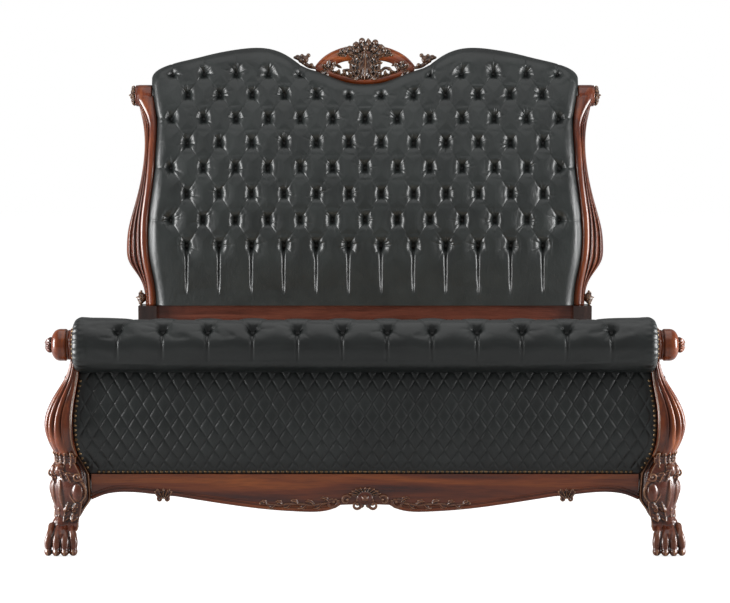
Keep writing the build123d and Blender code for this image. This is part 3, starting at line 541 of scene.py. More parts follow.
def tuft(x, s, buttons, folds, pleats, size):
    """How far a tufted surface stands out, with its dimples, faint folds between them and sharper pleats."""
    to_nearest = nearest(x, s, buttons, to_button)
    fold = nearest(x, s, folds, to_fold, 0.07)
    height = size["puff"] * (1 - np.exp(-fold / size["soft"]))
    close = np.exp(-np.maximum(to_nearest - 0.012, 0) / 0.024)
    height -= (size["fold"] + size["pinch"] * close) * np.exp(-(fold / (0.003 + 0.003 * close)) ** 2)
    core, flare = (np.exp(-0.5 * (to_nearest / (size["dimple_width"] * wide)) ** 2) for wide in (1, 2.2))
    height -= size["dimple"] * (0.56 * core + 0.44 * flare)
    for start, end, deep in pleats:
        height -= pleat_depth(x, s, start, end, deep)
    for bx, bs in buttons:
        near = np.hypot(x - bx, s - bs) < 0.075
        away, turn = np.hypot(x[near] - bx, s[near] - bs), np.arctan2(s[near] - bs, x[near] - bx)
        for _ in range(rng.integers(3, 7)):
            aim, spread, reach = rng.uniform(-pi, pi), rng.uniform(0.07, 0.16), rng.uniform(0.034, 0.056)
            off = (turn - aim + pi) % (2 * pi) - pi
            ridge = np.exp(-(off / spread) ** 2) * np.exp(-((away - 0.026) / (reach - 0.022)) ** 2)
            height[near] -= size["wrinkle"] * ridge
    return height


def pleat_depth(x, s, start, end, deep):
    """A pressed pleat that is deepest at its button, steep on one side, and dies out at its end."""
    dx, ds = end[0] - start[0], end[1] - start[1]
    length = hypot(dx, ds)
    along = ((x - start[0]) * dx + (s - start[1]) * ds) / length**2
    beside = ((x - start[0]) * ds - (s - start[1]) * dx) / length
    inside = np.clip(along, 0, 1)
    wide = 0.0062 + 0.008 * np.exp(-inside * length / 0.028)
    profile = np.where(beside > 0, np.exp(-(beside / wide) ** 2), np.exp(-(beside / (0.45 * wide)) ** 2))
    fade = (along > 0) * (1 - inside**8) * np.clip(along * length / 0.012, 0, 1)
    return deep * (0.55 + 0.45 * np.exp(-inside * length / 0.06)) * profile * fade


LEATHER_CLOTH = {"vertex_group_mass": "pinned", "quality": 5, "mass": 0.35, "tension_stiffness": 18,
                 "compression_stiffness": 18, "shear_stiffness": 8, "bending_stiffness": 6,
                 "shrink_min": 0.012, "use_pressure": True}
PRESSURE = 1.2
CLOTH_FRAMES = 16


def relaxed(points, pinned, outward, cap):
    """A leather sheet of points [u, v, xyz] after a cloth simulation, moved no further than the cap."""
    work = mesh_object("sheet_work", grid(points, closed=False), black_leather)
    normals = np.array([v.normal[:] for v in work.data.vertices])
    facing = np.sign((normals * outward.reshape(-1, 3)).sum())
    group = work.vertex_groups.new(name="pinned")
    group.add(np.nonzero(pinned.ravel())[0].tolist(), 1.0, "REPLACE")
    settings = work.modifiers.new("cloth", "CLOTH").settings
    for key, value in LEATHER_CLOTH.items():
        setattr(settings, key, value)
    settings.uniform_pressure_force = float(facing * PRESSURE)
    settings.effector_weights.gravity = 0
    for step in range(1, CLOTH_FRAMES + 1):
        bpy.context.scene.frame_set(step)
    graph = bpy.context.evaluated_depsgraph_get()
    result = np.array([v.co[:] for v in work.evaluated_get(graph).data.vertices])
    bpy.data.objects.remove(work)
    bpy.context.scene.frame_set(1)
    move = result.reshape(points.shape) - points
    length = np.linalg.norm(move, axis=-1, keepdims=True)
    return points + move * np.minimum(1, cap / np.maximum(length, 1e-9))


def eased(x, s, buttons):
    """A share from 0 at the buttons to 1 between them."""
    return (1 - np.exp(-(nearest(x, s, buttons, to_button) / 0.032) ** 2))[..., None]


def fuller(coarse, shape):
    """A field on a coarse grid, filled in for a finer grid of this shape."""
    rows, columns = (np.linspace(0, coarse.shape[k] - 1, shape[k]) for k in (0, 1))
    i = np.minimum(rows.astype(int), coarse.shape[0] - 2)
    j = np.minimum(columns.astype(int), coarse.shape[1] - 2)
    a, b = (rows - i)[:, None, None], (columns - j)[None, :, None]
    low, high = (coarse[k][:, j] * (1 - b) + coarse[k][:, j + 1] * b for k in (i, i + 1))
    return low * (1 - a) + high * a


def settled(points, s, outward, buttons, held, step, cap):
    """Leather after it settles over its padding, simulated on every few points and filled in between."""
    sheet, flat = points[::step, ::step], s[::step, ::step]
    x = sheet[..., 0]
    pinned = held[::step, ::step] | (nearest(x, flat, buttons, to_button) < 0.013)
    pinned[:, [0, -1]] = True
    move = (relaxed(sheet, pinned, outward[::step, ::step], cap) - sheet) * eased(x, flat, buttons)
    return points + fuller(move, points.shape[:2])


# ---------------------------------------------------------------- headboard pad
PITCH_X = 0.149
ROW_HEIGHTS = (0.960, 1.079, 1.200, 1.321, 1.437, 1.549, 1.660, 1.759)
PAD_TOP = [(0.0, 1.703), (0.090, 1.714), (0.187, 1.750), (0.300, 1.796), (0.365, 1.838), (0.440, 1.867),
           (0.590, 1.866), (0.700, 1.846), (0.832, 1.814), (0.952, 1.776), (0.986, 1.742), (0.990, 1.702)]
PAD_FRONT, PAD_ROLL, PAD_BACK = 372, 26, 14     # points up the front, over the top and down the back
FAR = 9.0                   # an unrolled height that no button is near
HALF_PAD = 0.049            # half the pad's thickness, and the radius of its edges
PAD_MIDDLE = 0.021          # from the posts' fronts to the middle of the pad
DIMPLE = 0.036


def head_rows():
    """The x of each row's buttons; the top row has none under the crest."""
    rows = []
    for row in range(len(ROW_HEIGHTS)):
        count, start = (12, -5.5) if row % 2 == 0 else (13, -6.0)
        xs = [(start + i) * PITCH_X for i in range(count)]
        rows.append([x for x in xs if row < len(ROW_HEIGHTS) - 1 or abs(x) > 1.5 * PITCH_X])
    return rows


def head_buttons():
    return [(x, z) for xs, z in zip(head_rows(), ROW_HEIGHTS) for x in xs]


def head_folds():
    """Folds between neighbouring buttons and out to the sides, and pleats to the bottom and top edges."""
    folds, pleats = [], []
    rows = head_rows()
    for row, z in enumerate(ROW_HEIGHTS):
        for x in rows[row]:
            if row + 1 < len(rows):
                folds += [((x, z), (other, ROW_HEIGHTS[row + 1])) for other in rows[row + 1]
                          if abs(other - x) < 0.6 * PITCH_X]
            else:
                pleats.append(((x, z), (x * 1.01, z + 0.10), 0.003))
            if row == 0:
                pleats.append(((x, z), (x * 1.003, PAD_BOTTOM + 0.050), 0.017))
            if abs(x) > 5.9 * PITCH_X and row < len(rows) - 1:
                folds.append(((x, z), (np.sign(x) * 1.10, z - 0.004)))
    return folds, pleats


def pad_columns():
    """Shares of the pad's half width, closer together round its edges."""
    edge = HALF_PAD / 0.98
    rim = 1 - edge * (1 - np.cos(np.radians(np.linspace(0, 90, 13)[:-1])))
    return np.concatenate([-rim, np.linspace(-1 + edge, 1 - edge, 620), rim[::-1]])


def headboard_pad(buttons):
    """The tufted leather: up the front, rolled over the top edge and down the back."""
    columns = pad_columns()
    top = np.interp(np.abs(columns) * 0.989, *smooth_path(PAD_TOP, 400).T)
    rise = np.linspace(0, 1, PAD_FRONT)
    roll = np.linspace(0, pi, PAD_ROLL + 2)[1:-1]
    side = np.concatenate([np.full(PAD_FRONT, -1.0), -np.cos(roll), np.ones(PAD_BACK)])
    foot = PAD_BOTTOM + 0.0005
    points = np.zeros((len(columns), len(side), 3))
    unrolled = np.full(points.shape[:2], FAR)
    for i, share in enumerate(columns):
        shoulder = top[i] - HALF_PAD
        z = np.concatenate([foot + rise * (shoulder - PAD_BOTTOM), shoulder + HALF_PAD * np.sin(roll),
                            np.linspace(shoulder, foot, PAD_BACK)])
        half = head_inner(z) - 0.001
        edge = np.minimum(half * (1 - abs(share)), HALF_PAD)
        thick = np.maximum(np.sqrt(HALF_PAD**2 - (HALF_PAD - edge) ** 2), 0.002)
        points[i] = np.stack([share * half, Y_HEAD + lean(z) + PAD_MIDDLE + thick * side, z], -1)
        unrolled[i, :-PAD_BACK] = np.concatenate([z[:PAD_FRONT], shoulder + HALF_PAD * roll])
    size = {"puff": 0.003, "soft": 0.02, "fold": 0.0003, "pinch": 0.0045, "dimple": DIMPLE,
            "dimple_width": 0.0135, "wrinkle": 0.0030}
    height = tuft(points[..., 0], unrolled, buttons, *head_folds(), size) - size["puff"]
    rolled = np.clip((np.arange(len(side)) - PAD_FRONT) / PAD_ROLL, 0, 1)
    height = height * (1 - rolled[None] ** 3) * (unrolled < FAR)
    outward = unit(np.cross(np.gradient(points, axis=0), np.gradient(points, axis=1)))
    outward *= np.where(outward[:, :PAD_FRONT, 1].mean() > 0, -1, 1)
    points = points + outward * height[..., None]
    free = PAD_FRONT + PAD_ROLL // 2
    i = np.arange(len(columns))
    held = np.broadcast_to((np.minimum(i, i[::-1]) < 6)[:, None], (len(columns), free))
    points[:, :free] = settled(points[:, :free], unrolled[:, :free], outward[:, :free], buttons, held,
                               step=3, cap=0.006)
    made = add("tufted_leather", grid(points), black_leather, "black_leather", "headboard_tufted_pad")


def button_form(place, outward):
    """A covered button that faces outward."""
    return turned_to(ball((0, 0, 0), (0.0105, 0.0105, 0.0065), 9, 18), (0, 0, 1), outward, place)


def headboard_buttons(buttons):
    forms = []
    for x, z in buttons:
        outward = unit((0, -1, float(lean(z + 0.005) - lean(z - 0.005)) / 0.01))
        place = np.array([x, Y_HEAD + float(lean(z)) + PAD_MIDDLE - HALF_PAD, z]) - outward * (DIMPLE + 0.006)
        forms.append(button_form(place, outward))
    add("headboard_button_set", join(*forms), button_leather, "button_leather", "headboard_buttons")


headboard_pad(head_buttons())
headboard_buttons(head_buttons())


# ---------------------------------------------------------------- headboard posts, volutes and rosettes
BAND = 0.036                # the rounded moulding beside the leather
HEAD_DEPTH = 0.084
VOLUTE_Z, VOLUTE_RADIUS = 1.650, 0.050


def reeds(v, count, sharp=0.75):
    """Rounded ridges side by side, from 0 in the grooves to 1 on the crests."""
    return np.abs(np.sin(pi * count * v)) ** sharp


def headboard_post():
    """A post with a rounded band beside the leather and three reeds that flow round its belly."""
    z = np.linspace(PAD_BOTTOM, VOLUTE_Z, 170)[:, None]
    inner, outer, front = head_inner(z), head_outer(z), Y_HEAD + lean(z)
    band_width = BAND + (outer - inner - 0.006 - BAND) * np.clip((z - 1.50) / 0.13, 0, 1) ** 1.5
    rest = np.maximum(outer - inner - band_width, 0.003)
    v, band = np.linspace(0, 1, 48), np.linspace(0, 1, 20)
    groove = np.minimum(0.016, 0.30 * rest) * (1 - reeds(v, 3, 0.9))
    back = front + HEAD_DEPTH
    x = np.hstack([inner + band_width * band, inner + band_width + rest * v, outer, outer - 0.004,
                   inner + 0.004, inner])
    y = np.hstack([front + 0.009 * np.abs(2 * band - 1) ** 2.4, front + 0.005 + 0.048 * v**2.2 + groove,
                   back - 0.006, back, back, back - 0.004])
    x0, x1 = float(head_inner(1.69)), float(head_outer(1.70))
    steps = [(0, 0.93), (0.04, 0.99), (0.1, 1.0), (0.85, 1.0), (0.90, 0.95), (0.95, 0.99), (1.0, 0.94)]
    barrel = turned([(x0 + (x1 - x0) * t, VOLUTE_RADIUS * r) for t, r in steps], 64)
    centre = Y_HEAD + float(lean(VOLUTE_Z)) + VOLUTE_RADIUS
    return join(sections(x, y, z), shifted(barrel, 0, centre, VOLUTE_Z))


def rosette(radius, height, turns):
    """A carved spiral with a boss in its middle, facing +X from the Y-Z plane."""
    angle = np.linspace(0, 2 * pi, 96, endpoint=False)
    r = np.linspace(0.02, 1, 34)[:, None]
    ridge = 0.5 + 0.5 * np.cos(2 * pi * (r * turns - angle / (2 * pi)))
    rim = radius * (1 + 0.05 * np.abs(np.sin(7 * angle))) * r
    rise = height * (0.42 + 0.34 * ridge * (1 - r**6) + 0.30 * np.exp(-(r / 0.22) ** 2) - 0.22 * r**4)
    front = np.stack([rise, rim * np.cos(angle), rim * np.sin(angle)], -1)
    return grid(np.concatenate([front, front[-1:] * (0, 1, 1)]))


def leafy_scroll(name, turns, lobes, inward=0.0):
    """A spiral rosette wrapped in leaves, on the outer face of a post."""
    low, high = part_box(f"{name}_right")
    radius, height = (high[2] - low[2]) / 2, high[0] - low[0]
    forms = [rosette(radius * 0.80, height, turns)]
    if inward:
        forms.append(turned([(-inward, radius * 0.5), (0, radius * 0.72), (height * 0.4, radius * 0.74)], 32))
    for k in range(lobes):
        a = 2 * pi * k / lobes
        out, turn = np.array([0, cos(a), sin(a)]), np.array([0, -sin(a), cos(a)])
        path = [out * radius * r + turn * aside + (height * rise, 0, 0)
                for r, aside, rise in ((0.45, 0, 0.42), (0.80, 0.006, 0.46), (1.04, 0.016, 0.22))]
        forms.append(leaf(path, radius * 0.62, 0.007, 2, face=(1, 0, 0), cup=0.25, rows=18, across=9))
    return shifted(join(*forms), low[0], (low[1] + high[1]) / 2, (low[2] + high[2]) / 2)


def headboard_trim():
    add_pair("reeded_post", headboard_post(), cherry_head, "cherry_wood", "headboard_post")
    for place, turns, lobes, inward in (("top", 2.0, 8, 0.0), ("base", 1.6, 7, 0.010)):
        node = f"headboard_{place}_rosette"
        add_pair(f"carved_{place}_rosette", leafy_scroll(node, turns, lobes, inward), dark_carving,
                 "carved_cherry", node, voxel=0.0018, soften=1)


headboard_trim()


# ---------------------------------------------------------------- crest
CREST_SLOPE = radians(14.5)
CREST_FOOT = 1.703


def on_crest(form):
    """Leans a form modelled against the X-Z plane back onto the headboard's top."""
    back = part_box("headboard_crest")[0][1]
    tilt = Matrix.Rotation(-CREST_SLOPE, 4, "X")
    place = Matrix.Translation((0, back + 0.012, CREST_FOOT)) @ tilt @ Matrix.Translation((0, 0, -CREST_FOOT))
    return moved(form, place)


def crest_arch(side):
    """Half of the smooth frame: a broad arch over the opening, and a band along the leather's edge."""
    stations = [(0.232, 1.776, 0.010), (0.208, 1.792, 0.021), (0.176, 1.812, 0.030), (0.136, 1.834, 0.033),
                (0.092, 1.848, 0.034), (0.045, 1.853, 0.036), (0.0, 1.852, 0.036)]
    x, z, radius = smooth_path([(side * x, z, r) for x, z, r in stations], 60).T
    low = [(side * x, 0, z) for x, z in ((0.228, 1.774), (0.175, 1.757), (0.130, 1.741), (0.080, 1.727),
                                         (0.040, 1.719), (0.0, 1.716))]
    end = [(side * x, 0, z) for x, z in ((0.225, 1.776), (0.188, 1.778), (0.160, 1.772))]
    forms = [tube(np.stack([x, 0 * x, z], -1), radius, 18, 0.42)]
    for rise, thick, sides in ((0.80, 0.0060, 10), (-0.55, 0.0040, 8)):
        forms.append(tube(np.stack([x, 0 * x - 0.009, z + rise * radius], -1), thick * taper(60), sides))
    forms.append(tube(smooth_path(end, 24), 0.024 * taper(24, (0.5, 0.9)), 14, 0.6))
    forms.append(tube(smooth_path(low, 50), 0.019 * taper(50, (0.4, 0.9)), 12, 0.9))
    return forms


def crest_curl(side, x, z):
    """A curl that ends in a ball inside the opening, with a small leaf on its back."""
    stem = [(side * (x - dx), 0, z + dz) for dx, dz in ((0, 0), (0.018, 0.004), (0.034, -0.010))]
    back = [(side * (x + dx), -0.006, z + dz) for dx, dz in ((0.046, 0.036), (0.026, 0.022), (0.010, 0.012))]
    return [ball((side * x, 0, z), 0.0095), tube(smooth_path(stem, 14), 0.0075, 10),
            leaf(back, 0.018, 0.006, 2, rows=16, across=9)]


def leaf_fan(middle, radius, start, end, count, size, y, lobes=3):
    """Leaves side by side on an arc, pointing outwards and curling forwards."""
    forms = []
    for k in range(count):
        a = radians(start + (end - start) * k / (count - 1))
        out = np.array([cos(a), 0, sin(a)])
        root = np.array([middle[0], y, middle[1]]) + out * radius
        length = size * rng.uniform(0.88, 1.12)
        bend = np.array([-sin(a), 0, cos(a)]) * rng.uniform(-0.2, 0.2) * length
        path = [root, root + out * length * 0.5 + (0, -0.006, 0), root + out * length + bend + (0, -0.013, 0)]
        forms.append(leaf(path, size * 0.62, 0.008, lobes, cup=0.28, rows=22, across=11))
    return forms


BERRIES = ((-0.014, 1.908, 0.0150), (0.048, 1.900, 0.0150), (0.018, 1.896, 0.0140), (-0.044, 1.888, 0.0140),
           (0.074, 1.878, 0.0140), (-0.072, 1.872, 0.0130), (0.094, 1.862, 0.0110), (-0.092, 1.858, 0.0110),
           (0.004, 1.872, 0.0150), (0.038, 1.866, 0.0130), (-0.036, 1.860, 0.0130),
           (0.070, 1.850, 0.0120), (-0.066, 1.846, 0.0120))


def crest_cluster():
    """A heap of leaves and berries round a tall plume, and small fans at the openings' outer ends."""
    forms = [ball((0, 0.002, 1.792), (0.074, 0.022, 0.082), 20, 28),
             ball((0.014, 0.002, 1.872), (0.082, 0.016, 0.036), 16, 24)]
    forms += leaf_fan((0.004, 1.830), 0.030, 8, 172, 8, 0.056, -0.016, 3)
    forms += leaf_fan((0, 1.776), 0.036, -50, 230, 9, 0.044, -0.020)
    for side in (-1, 1):
        forms += leaf_fan((side * 0.166, 1.766), 0.006, 90 - side * 150, 90 + side * 40, 5, 0.040, -0.012, 2)
        for x, z in ((0.150, 1.752), (0.118, 1.741), (0.090, 1.734)):
            forms += leaf_fan((side * x, z), 0.004, 90 - side * 10, 90 + side * 70, 2, 0.026, -0.016, 2)
        for x, z, aim in ((0.080, 1.858, 74), (0.098, 1.846, 50)):
            start, end = (aim - 40, aim + 40) if side > 0 else (140 - aim, 220 - aim)
            forms += leaf_fan((side * x, z - 0.008), 0.003, start, end, 3, 0.030, -0.013, 2)
            forms.append(ball((side * x, -0.006, z - 0.006), (0.016, 0.012, 0.012)))
        for x, z, width in ((0.026, 1.772, 0.026), (0.044, 1.776, 0.024), (0.062, 1.788, 0.022)):
            path = [(side * 0.014, 1.846), (side * x * 0.8, 1.818), (side * x, z),
                    (side * (x + 0.006), z - 0.034)]
            forms.append(leaf(flat_points(path, -0.021), width, 0.009, 4, cup=0.2))
        forms.append(scroll((side * 0.052, -0.016, 1.742), 90, 90 - side * 380, 0.018, 0.005, 0.0075))
    forms.append(leaf([(-0.002, -0.020, 1.720), (0.0, -0.034, 1.762), (0.002, -0.030, 1.812),
                       (0.0, -0.040, 1.856)],
                      0.066, 0.015, 4, cup=0.15))
    return join(*forms, *[ball((x, -0.018, z), size, 9, 14) for x, z, size in BERRIES])


def crest_tendril():
    """A low strip along the leather that ends in a scrolled knob set with small balls."""
    strip = [(0.226, 1.782), (0.250, 1.787), (0.272, 1.797), (0.290, 1.812), (0.318, 1.830), (0.334, 1.834)]
    forms = [tube(smooth_path(flat_points(strip), 30), 0.010 * taper(30, (0.5, 0.5)), 12, 0.8),
             scroll((0.279, -0.004, 1.822), -80, 280, 0.018, 0.004, 0.0105),
             ball((0.279, -0.006, 1.822), (0.016, 0.013, 0.018)),
             scroll((0.316, -0.003, 1.832), 200, -120, 0.010, 0.004, 0.0065)]
    for x, z, size in ((0.250, 1.795, 0.010), (0.264, 1.842, 0.010), (0.294, 1.840, 0.009),
                       (0.300, 1.816, 0.011)):
        forms.append(ball((x, -0.004, z), size))
    return join(*forms)


def crest():
    arches = on_crest(join(*crest_arch(1), *crest_arch(-1)))
    add("crest_arch", arches, cherry_across, "cherry_wood", "headboard_crest", voxel=0.0026, soften=1)
    cluster = on_crest(join(crest_cluster(), *crest_curl(1, 0.112, 1.778), *crest_curl(-1, 0.097, 1.768)))
    add("crest_leaves", cluster, dark_carving, "carved_cherry", voxel=0.0021, soften=1)
    add_pair("carved_tendril", on_crest(crest_tendril()), dark_carving, "carved_cherry", "crest_tendril",
             voxel=0.002, soften=1)


crest()


# ---------------------------------------------------------------- footboard roll
ROLL_PITCH, ROLL_COUNT = 0.156, 12
ROLL_TURNS = (46, 112)      # each row of buttons, in degrees above the front
ROLL_END = 0.030
ROLL_HOLE = 0.052           # the radius of the hole in each end


def roll_buttons():
    made = []
    for row, turn in enumerate(ROLL_TURNS):
        count = ROLL_COUNT - row
        made += [((i - (count - 1) / 2) * ROLL_PITCH, ROLL_RADIUS * radians(turn)) for i in range(count)]
    return made


def roll_folds(buttons):
    """Folds between the two rows of buttons, and pleats from them down the front and the back."""
    front, rear = (ROLL_RADIUS * radians(turn) for turn in ROLL_TURNS)
    folds, pleats = [], []
    for x, s in buttons:
        if s == front:
            pleats.append(((x, s), (x, ROLL_RADIUS * radians(-35)), 0.012))
            folds += [((x, s), (x + aside, rear)) for aside in (-ROLL_PITCH / 2, ROLL_PITCH / 2)
                      if abs(x + aside) < 5.2 * ROLL_PITCH]
        else:
            pleats.append(((x, s), (x, ROLL_RADIUS * radians(200)), 0.008))
    return folds, pleats


def footboard_roll():
    main = np.linspace(-ROLL_HALF + ROLL_END, ROLL_HALF - ROLL_END, 460)
    turn = np.radians(np.linspace(90, 0, 14)[:-1])
    rim_x = ROLL_HALF - ROLL_END * (1 - np.sin(turn))
    rim_r = ROLL_RADIUS - ROLL_END + ROLL_END * np.cos(turn)
    flat_x, flat_r = np.full(5, ROLL_HALF), np.linspace(ROLL_RADIUS - ROLL_END, ROLL_HOLE, 6)[1:]
    x = np.concatenate([-flat_x, -rim_x, main, rim_x[::-1], flat_x])[:, None]
    r = np.concatenate([flat_r[::-1], rim_r, np.full(len(main), ROLL_RADIUS), rim_r[::-1], flat_r])[:, None]
    angle = np.radians(np.linspace(-90, 270, 150, endpoint=False))
    x = np.broadcast_to(x, (len(x), len(angle)))
    unrolled = np.broadcast_to(ROLL_RADIUS * angle, x.shape)
    buttons = roll_buttons()
    size = {"puff": 0.004, "soft": 0.02, "fold": 0.0016, "pinch": 0.004, "dimple": 0.030,
            "dimple_width": 0.0120, "wrinkle": 0.0025}
    height = tuft(x, unrolled, buttons, *roll_folds(buttons), size) - size["puff"]
    inside = np.clip((ROLL_HALF - np.abs(x)) / 0.05, 0, 1)
    radius = r + height * inside + 0.0022 * np.cos(26 * angle) * (1 - inside)
    points = np.stack([x, ROLL_Y - radius * np.cos(angle), ROLL_Z + radius * np.sin(angle)], -1)
    held = (np.abs(x) > ROLL_HALF - 0.055) | (np.cos(angle + pi / 2) > 0.8)
    outward = unit(points * (0, 1, 1) - (0, ROLL_Y, ROLL_Z))
    points = settled(points, unrolled, outward, buttons, held, step=2, cap=0.005)
    add("roll_leather", grid(points), black_leather, "black_leather", "roll_leather_pad")
    forms = []
    for bx, s in buttons:
        outward = np.array([0, -cos(s / ROLL_RADIUS), sin(s / ROLL_RADIUS)])
        forms.append(button_form(np.array([bx, ROLL_Y, ROLL_Z]) + outward * (ROLL_RADIUS - 0.037), outward))
    add("roll_button_set", join(*forms), button_leather, "button_leather", "roll_buttons")


def finial():
    """A turned cup with a carved bud at its tip."""
    low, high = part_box("roll_finial_right")
    length, radius = high[0] - low[0], (high[2] - low[2]) / 2
    steps = [(0, 0.82), (0.03, 0.92), (0.07, 0.94), (0.10, 0.88), (0.14, 0.96), (0.24, 1.0), (0.38, 1.0),
             (0.50, 0.97), (0.60, 0.88), (0.67, 0.74), (0.72, 0.56), (0.75, 0.42), (0.80, 0.40)]
    forms = [turned(smooth_path([(low[0] + s * length, r * radius) for s, r in steps], 60), 64),
             turned([(low[0] + 0.72 * length, 0.012), (low[0] + 0.9 * length, 0.018), (high[0], 0.003)], 24)]
    for k in range(6):
        out = np.array([0, cos(pi * k / 3), sin(pi * k / 3)])
        path = [np.array([low[0] + s * length, 0, 0]) + out * r * radius
                for s, r in ((0.70, 0.38), (0.80, 0.46), (0.90, 0.36), (0.985, 0.10))]
        forms.append(leaf(path, 0.024, 0.005, 2, face=out + (0.3, 0, 0), cup=0.2, rows=16, across=9))
    return shifted(join(*forms), 0, ROLL_Y, ROLL_Z)


footboard_roll()
add_pair("carved_finial", finial(), cherry_up, "carved_cherry", "roll_finial")


# ---------------------------------------------------------------- quilted panel
QUILT_X, QUILT_Z = 0.0502, 0.081            # the diamonds' width and height
QUILT_PUFF = 0.0062
QUILT_BORDER = 0.018


def quilted_panel():
    """The quilted leather: pillows between crossing channels, and a plain border beside the nails."""
    z = np.linspace(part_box("footboard_quilted_panel")[0][2], 0.652, 190)
    half = foot_inner(z) - 0.001
    x = np.linspace(-1, 1, 900)[:, None] * half
    u, v = x / QUILT_X + z / QUILT_Z, x / QUILT_X - z / QUILT_Z
    line = np.minimum(np.abs(u - np.round(u)), np.abs(v - np.round(v))) / hypot(1 / QUILT_X, 1 / QUILT_Z)
    pillow = 0.62 * (1 - np.exp(-line / 0.0035)) + 0.38 * np.sqrt(np.abs(np.sin(pi * u) * np.sin(pi * v)))
    edge = np.minimum(half - np.abs(x), z - z[0])
    border = np.clip((edge - QUILT_BORDER) / 0.012, 0, 1)
    puff = QUILT_PUFF * pillow * border + 0.003 * np.clip(edge / QUILT_BORDER, 0, 1) ** 0.5 * (1 - border)
    board = Y_FOOT - quilt_front(z)
    front, back = (np.stack(np.broadcast_arrays(x, y, z), -1) for y in (board + 0.004 - puff, board + 0.019))
    made = add("quilted_leather", grid(np.concatenate([front, back[:, ::-1]], 1)), black_leather,
               "black_leather", "footboard_quilted_panel")


quilted_panel()


# ---------------------------------------------------------------- footboard posts, collars and legs
BLOCK_DEPTH = 0.0753        # from the inner face to the back of the carved pieces
ROUNDNESS = 2 / 2.6         # 1 would be an ellipse's quarter, and less is squarer


def quarter_section(inner, outer, front, back, count):
    """Points round from the inner front corner to the outer back, and their shares outwards and forwards."""
    a = np.linspace(0, pi / 2, count)
    forwards, outwards = np.cos(a) ** ROUNDNESS, np.sin(a) ** ROUNDNESS
    return inner + (outer - inner) * outwards, Y_FOOT - back - (front - back) * forwards, outwards, forwards


FOOT_BAND = 0.17            # the share of the post's width taken by the recessed band beside the leather


def footboard_post():
    """A swelling post: a recessed band with a gilt bead, then reeds that melt into its belly."""
    z = np.linspace(0.344, 0.676, 120)[:, None]
    inner, outer = foot_inner(z), foot_outer(z)
    x, y, s, c = quarter_section(inner, outer, foot_front(z), BLOCK_DEPTH, 110)
    v = np.linspace(0, 1, 110)
    belly = np.clip((z - 0.385) / 0.07, 0.12, 1)
    reed = np.clip((v - FOOT_BAND) / (1 - FOOT_BAND), 0, 1)
    groove = np.minimum(0.015, (outer - inner) * 0.15) * belly * (1 - reeds(reed, 4, 0.8)) * (v > FOOT_BAND)
    groove = groove + 0.010 * (1 - np.clip((v - FOOT_BAND + 0.03) / 0.05, 0, 1))
    x = np.hstack([np.maximum(x - groove * s, inner + 0.0005), outer - 0.004, inner + 0.0005])
    y = np.hstack([y + groove * c, np.full((len(z), 2), Y_FOOT - BLOCK_DEPTH)])
    disc = ((0.0003, 0.052), (0.001, 0.058), (0.004, 0.060), (0.007, 0.056), (0.009, 0.058), (0.0121, 0.054))
    ring = turned([(ROLL_HALF + along, radius) for along, radius in disc], 64)
    return join(sections(x, y, z), shifted(ring, 0, ROLL_Y, ROLL_Z))


def gilt_bead():
    z = np.linspace(0.348, 0.640, 60)
    path = np.stack([foot_inner(z) + 0.0035, Y_FOOT - foot_front(z) + 0.010, z], -1)
    return tube(path, 0.0017, 8)


def corner(a):
    """Shares outwards and forwards round a corner, from 0 at its inner front to 1 at its outer back."""
    return sin(a * pi / 2) ** 0.77, cos(a * pi / 2) ** 0.77


def leaf_ring(z, inner, outer, front, count, length, width, drop):
    """Leaves that stand round the outside of a post and curl over."""
    forms = []
    for k in range(count):
        s, c = corner((k + 0.5) / count)
        place = np.array([inner + (outer - inner) * s, Y_FOOT - BLOCK_DEPTH - (front - BLOCK_DEPTH) * c, z])
        out = unit((s, -c, 0))
        path = [place + out * stand + (0, 0, rise) for stand, rise in
                ((0.001, -length * 0.5), (0.006, 0), (0.010, length * 0.42), (0.016, length * 0.5 - drop))]
        forms.append(leaf(path, width, 0.006, 3, face=out, cup=0.3, rows=18, across=9))
    return join(*forms)


def leaf_collar():
    low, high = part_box("footboard_leaf_collar_right")
    middle = (low[2] + high[2]) / 2
    inner, outer, front = low[0] + 0.002, high[0] - 0.010, Y_FOOT - low[1] - 0.012
    z = np.linspace(low[2], high[2], 12)[:, None]
    swell = 0.004 * np.sin(np.linspace(0, pi, 12))[:, None]
    x, y = quarter_section(inner, outer + swell, front + swell, BLOCK_DEPTH, 30)[:2]
    core = sections(np.hstack([x, np.full_like(z, inner)]),
                    np.hstack([y, np.full_like(z, Y_FOOT - BLOCK_DEPTH)]), z)
    upper = leaf_ring(middle + 0.006, inner, outer, front, 7, 0.036, 0.022, 0.004)
    lower = leaf_ring(middle - 0.010, inner, outer - 0.002, front - 0.002, 6, -0.040, 0.024, -0.004)
    return join(core, upper, lower)


leg_rear = curve((0.085, 0.112), (0.128, 0.114), (0.165, 0.098), (0.200, 0.082), (0.240, BLOCK_DEPTH),
                 (0.320, BLOCK_DEPTH))


def leg_point(z, a, out=0.0):
    """A place on the leg's surface at a share round its corner, and the direction out of the surface."""
    s, c = corner(a)
    inner, outer, front = float(leg_inner(z)), float(leg_outer(z)), float(leg_front(z))
    place = np.array([inner + (outer - inner) * s, Y_FOOT - BLOCK_DEPTH - (front - BLOCK_DEPTH) * c, z])
    normal = unit((s, -c, 0))
    return place + normal * out, normal


def leg_leaf(a, steps, width, lobes, rows):
    """A leaf on the leg through (height, share further round, distance out) steps."""
    path = [leg_point(z, a + turn, out)[0] for z, turn, out in steps]
    return leaf(path, width, 0.008, lobes, face=leg_point(0, a)[1], rows=rows, across=11)


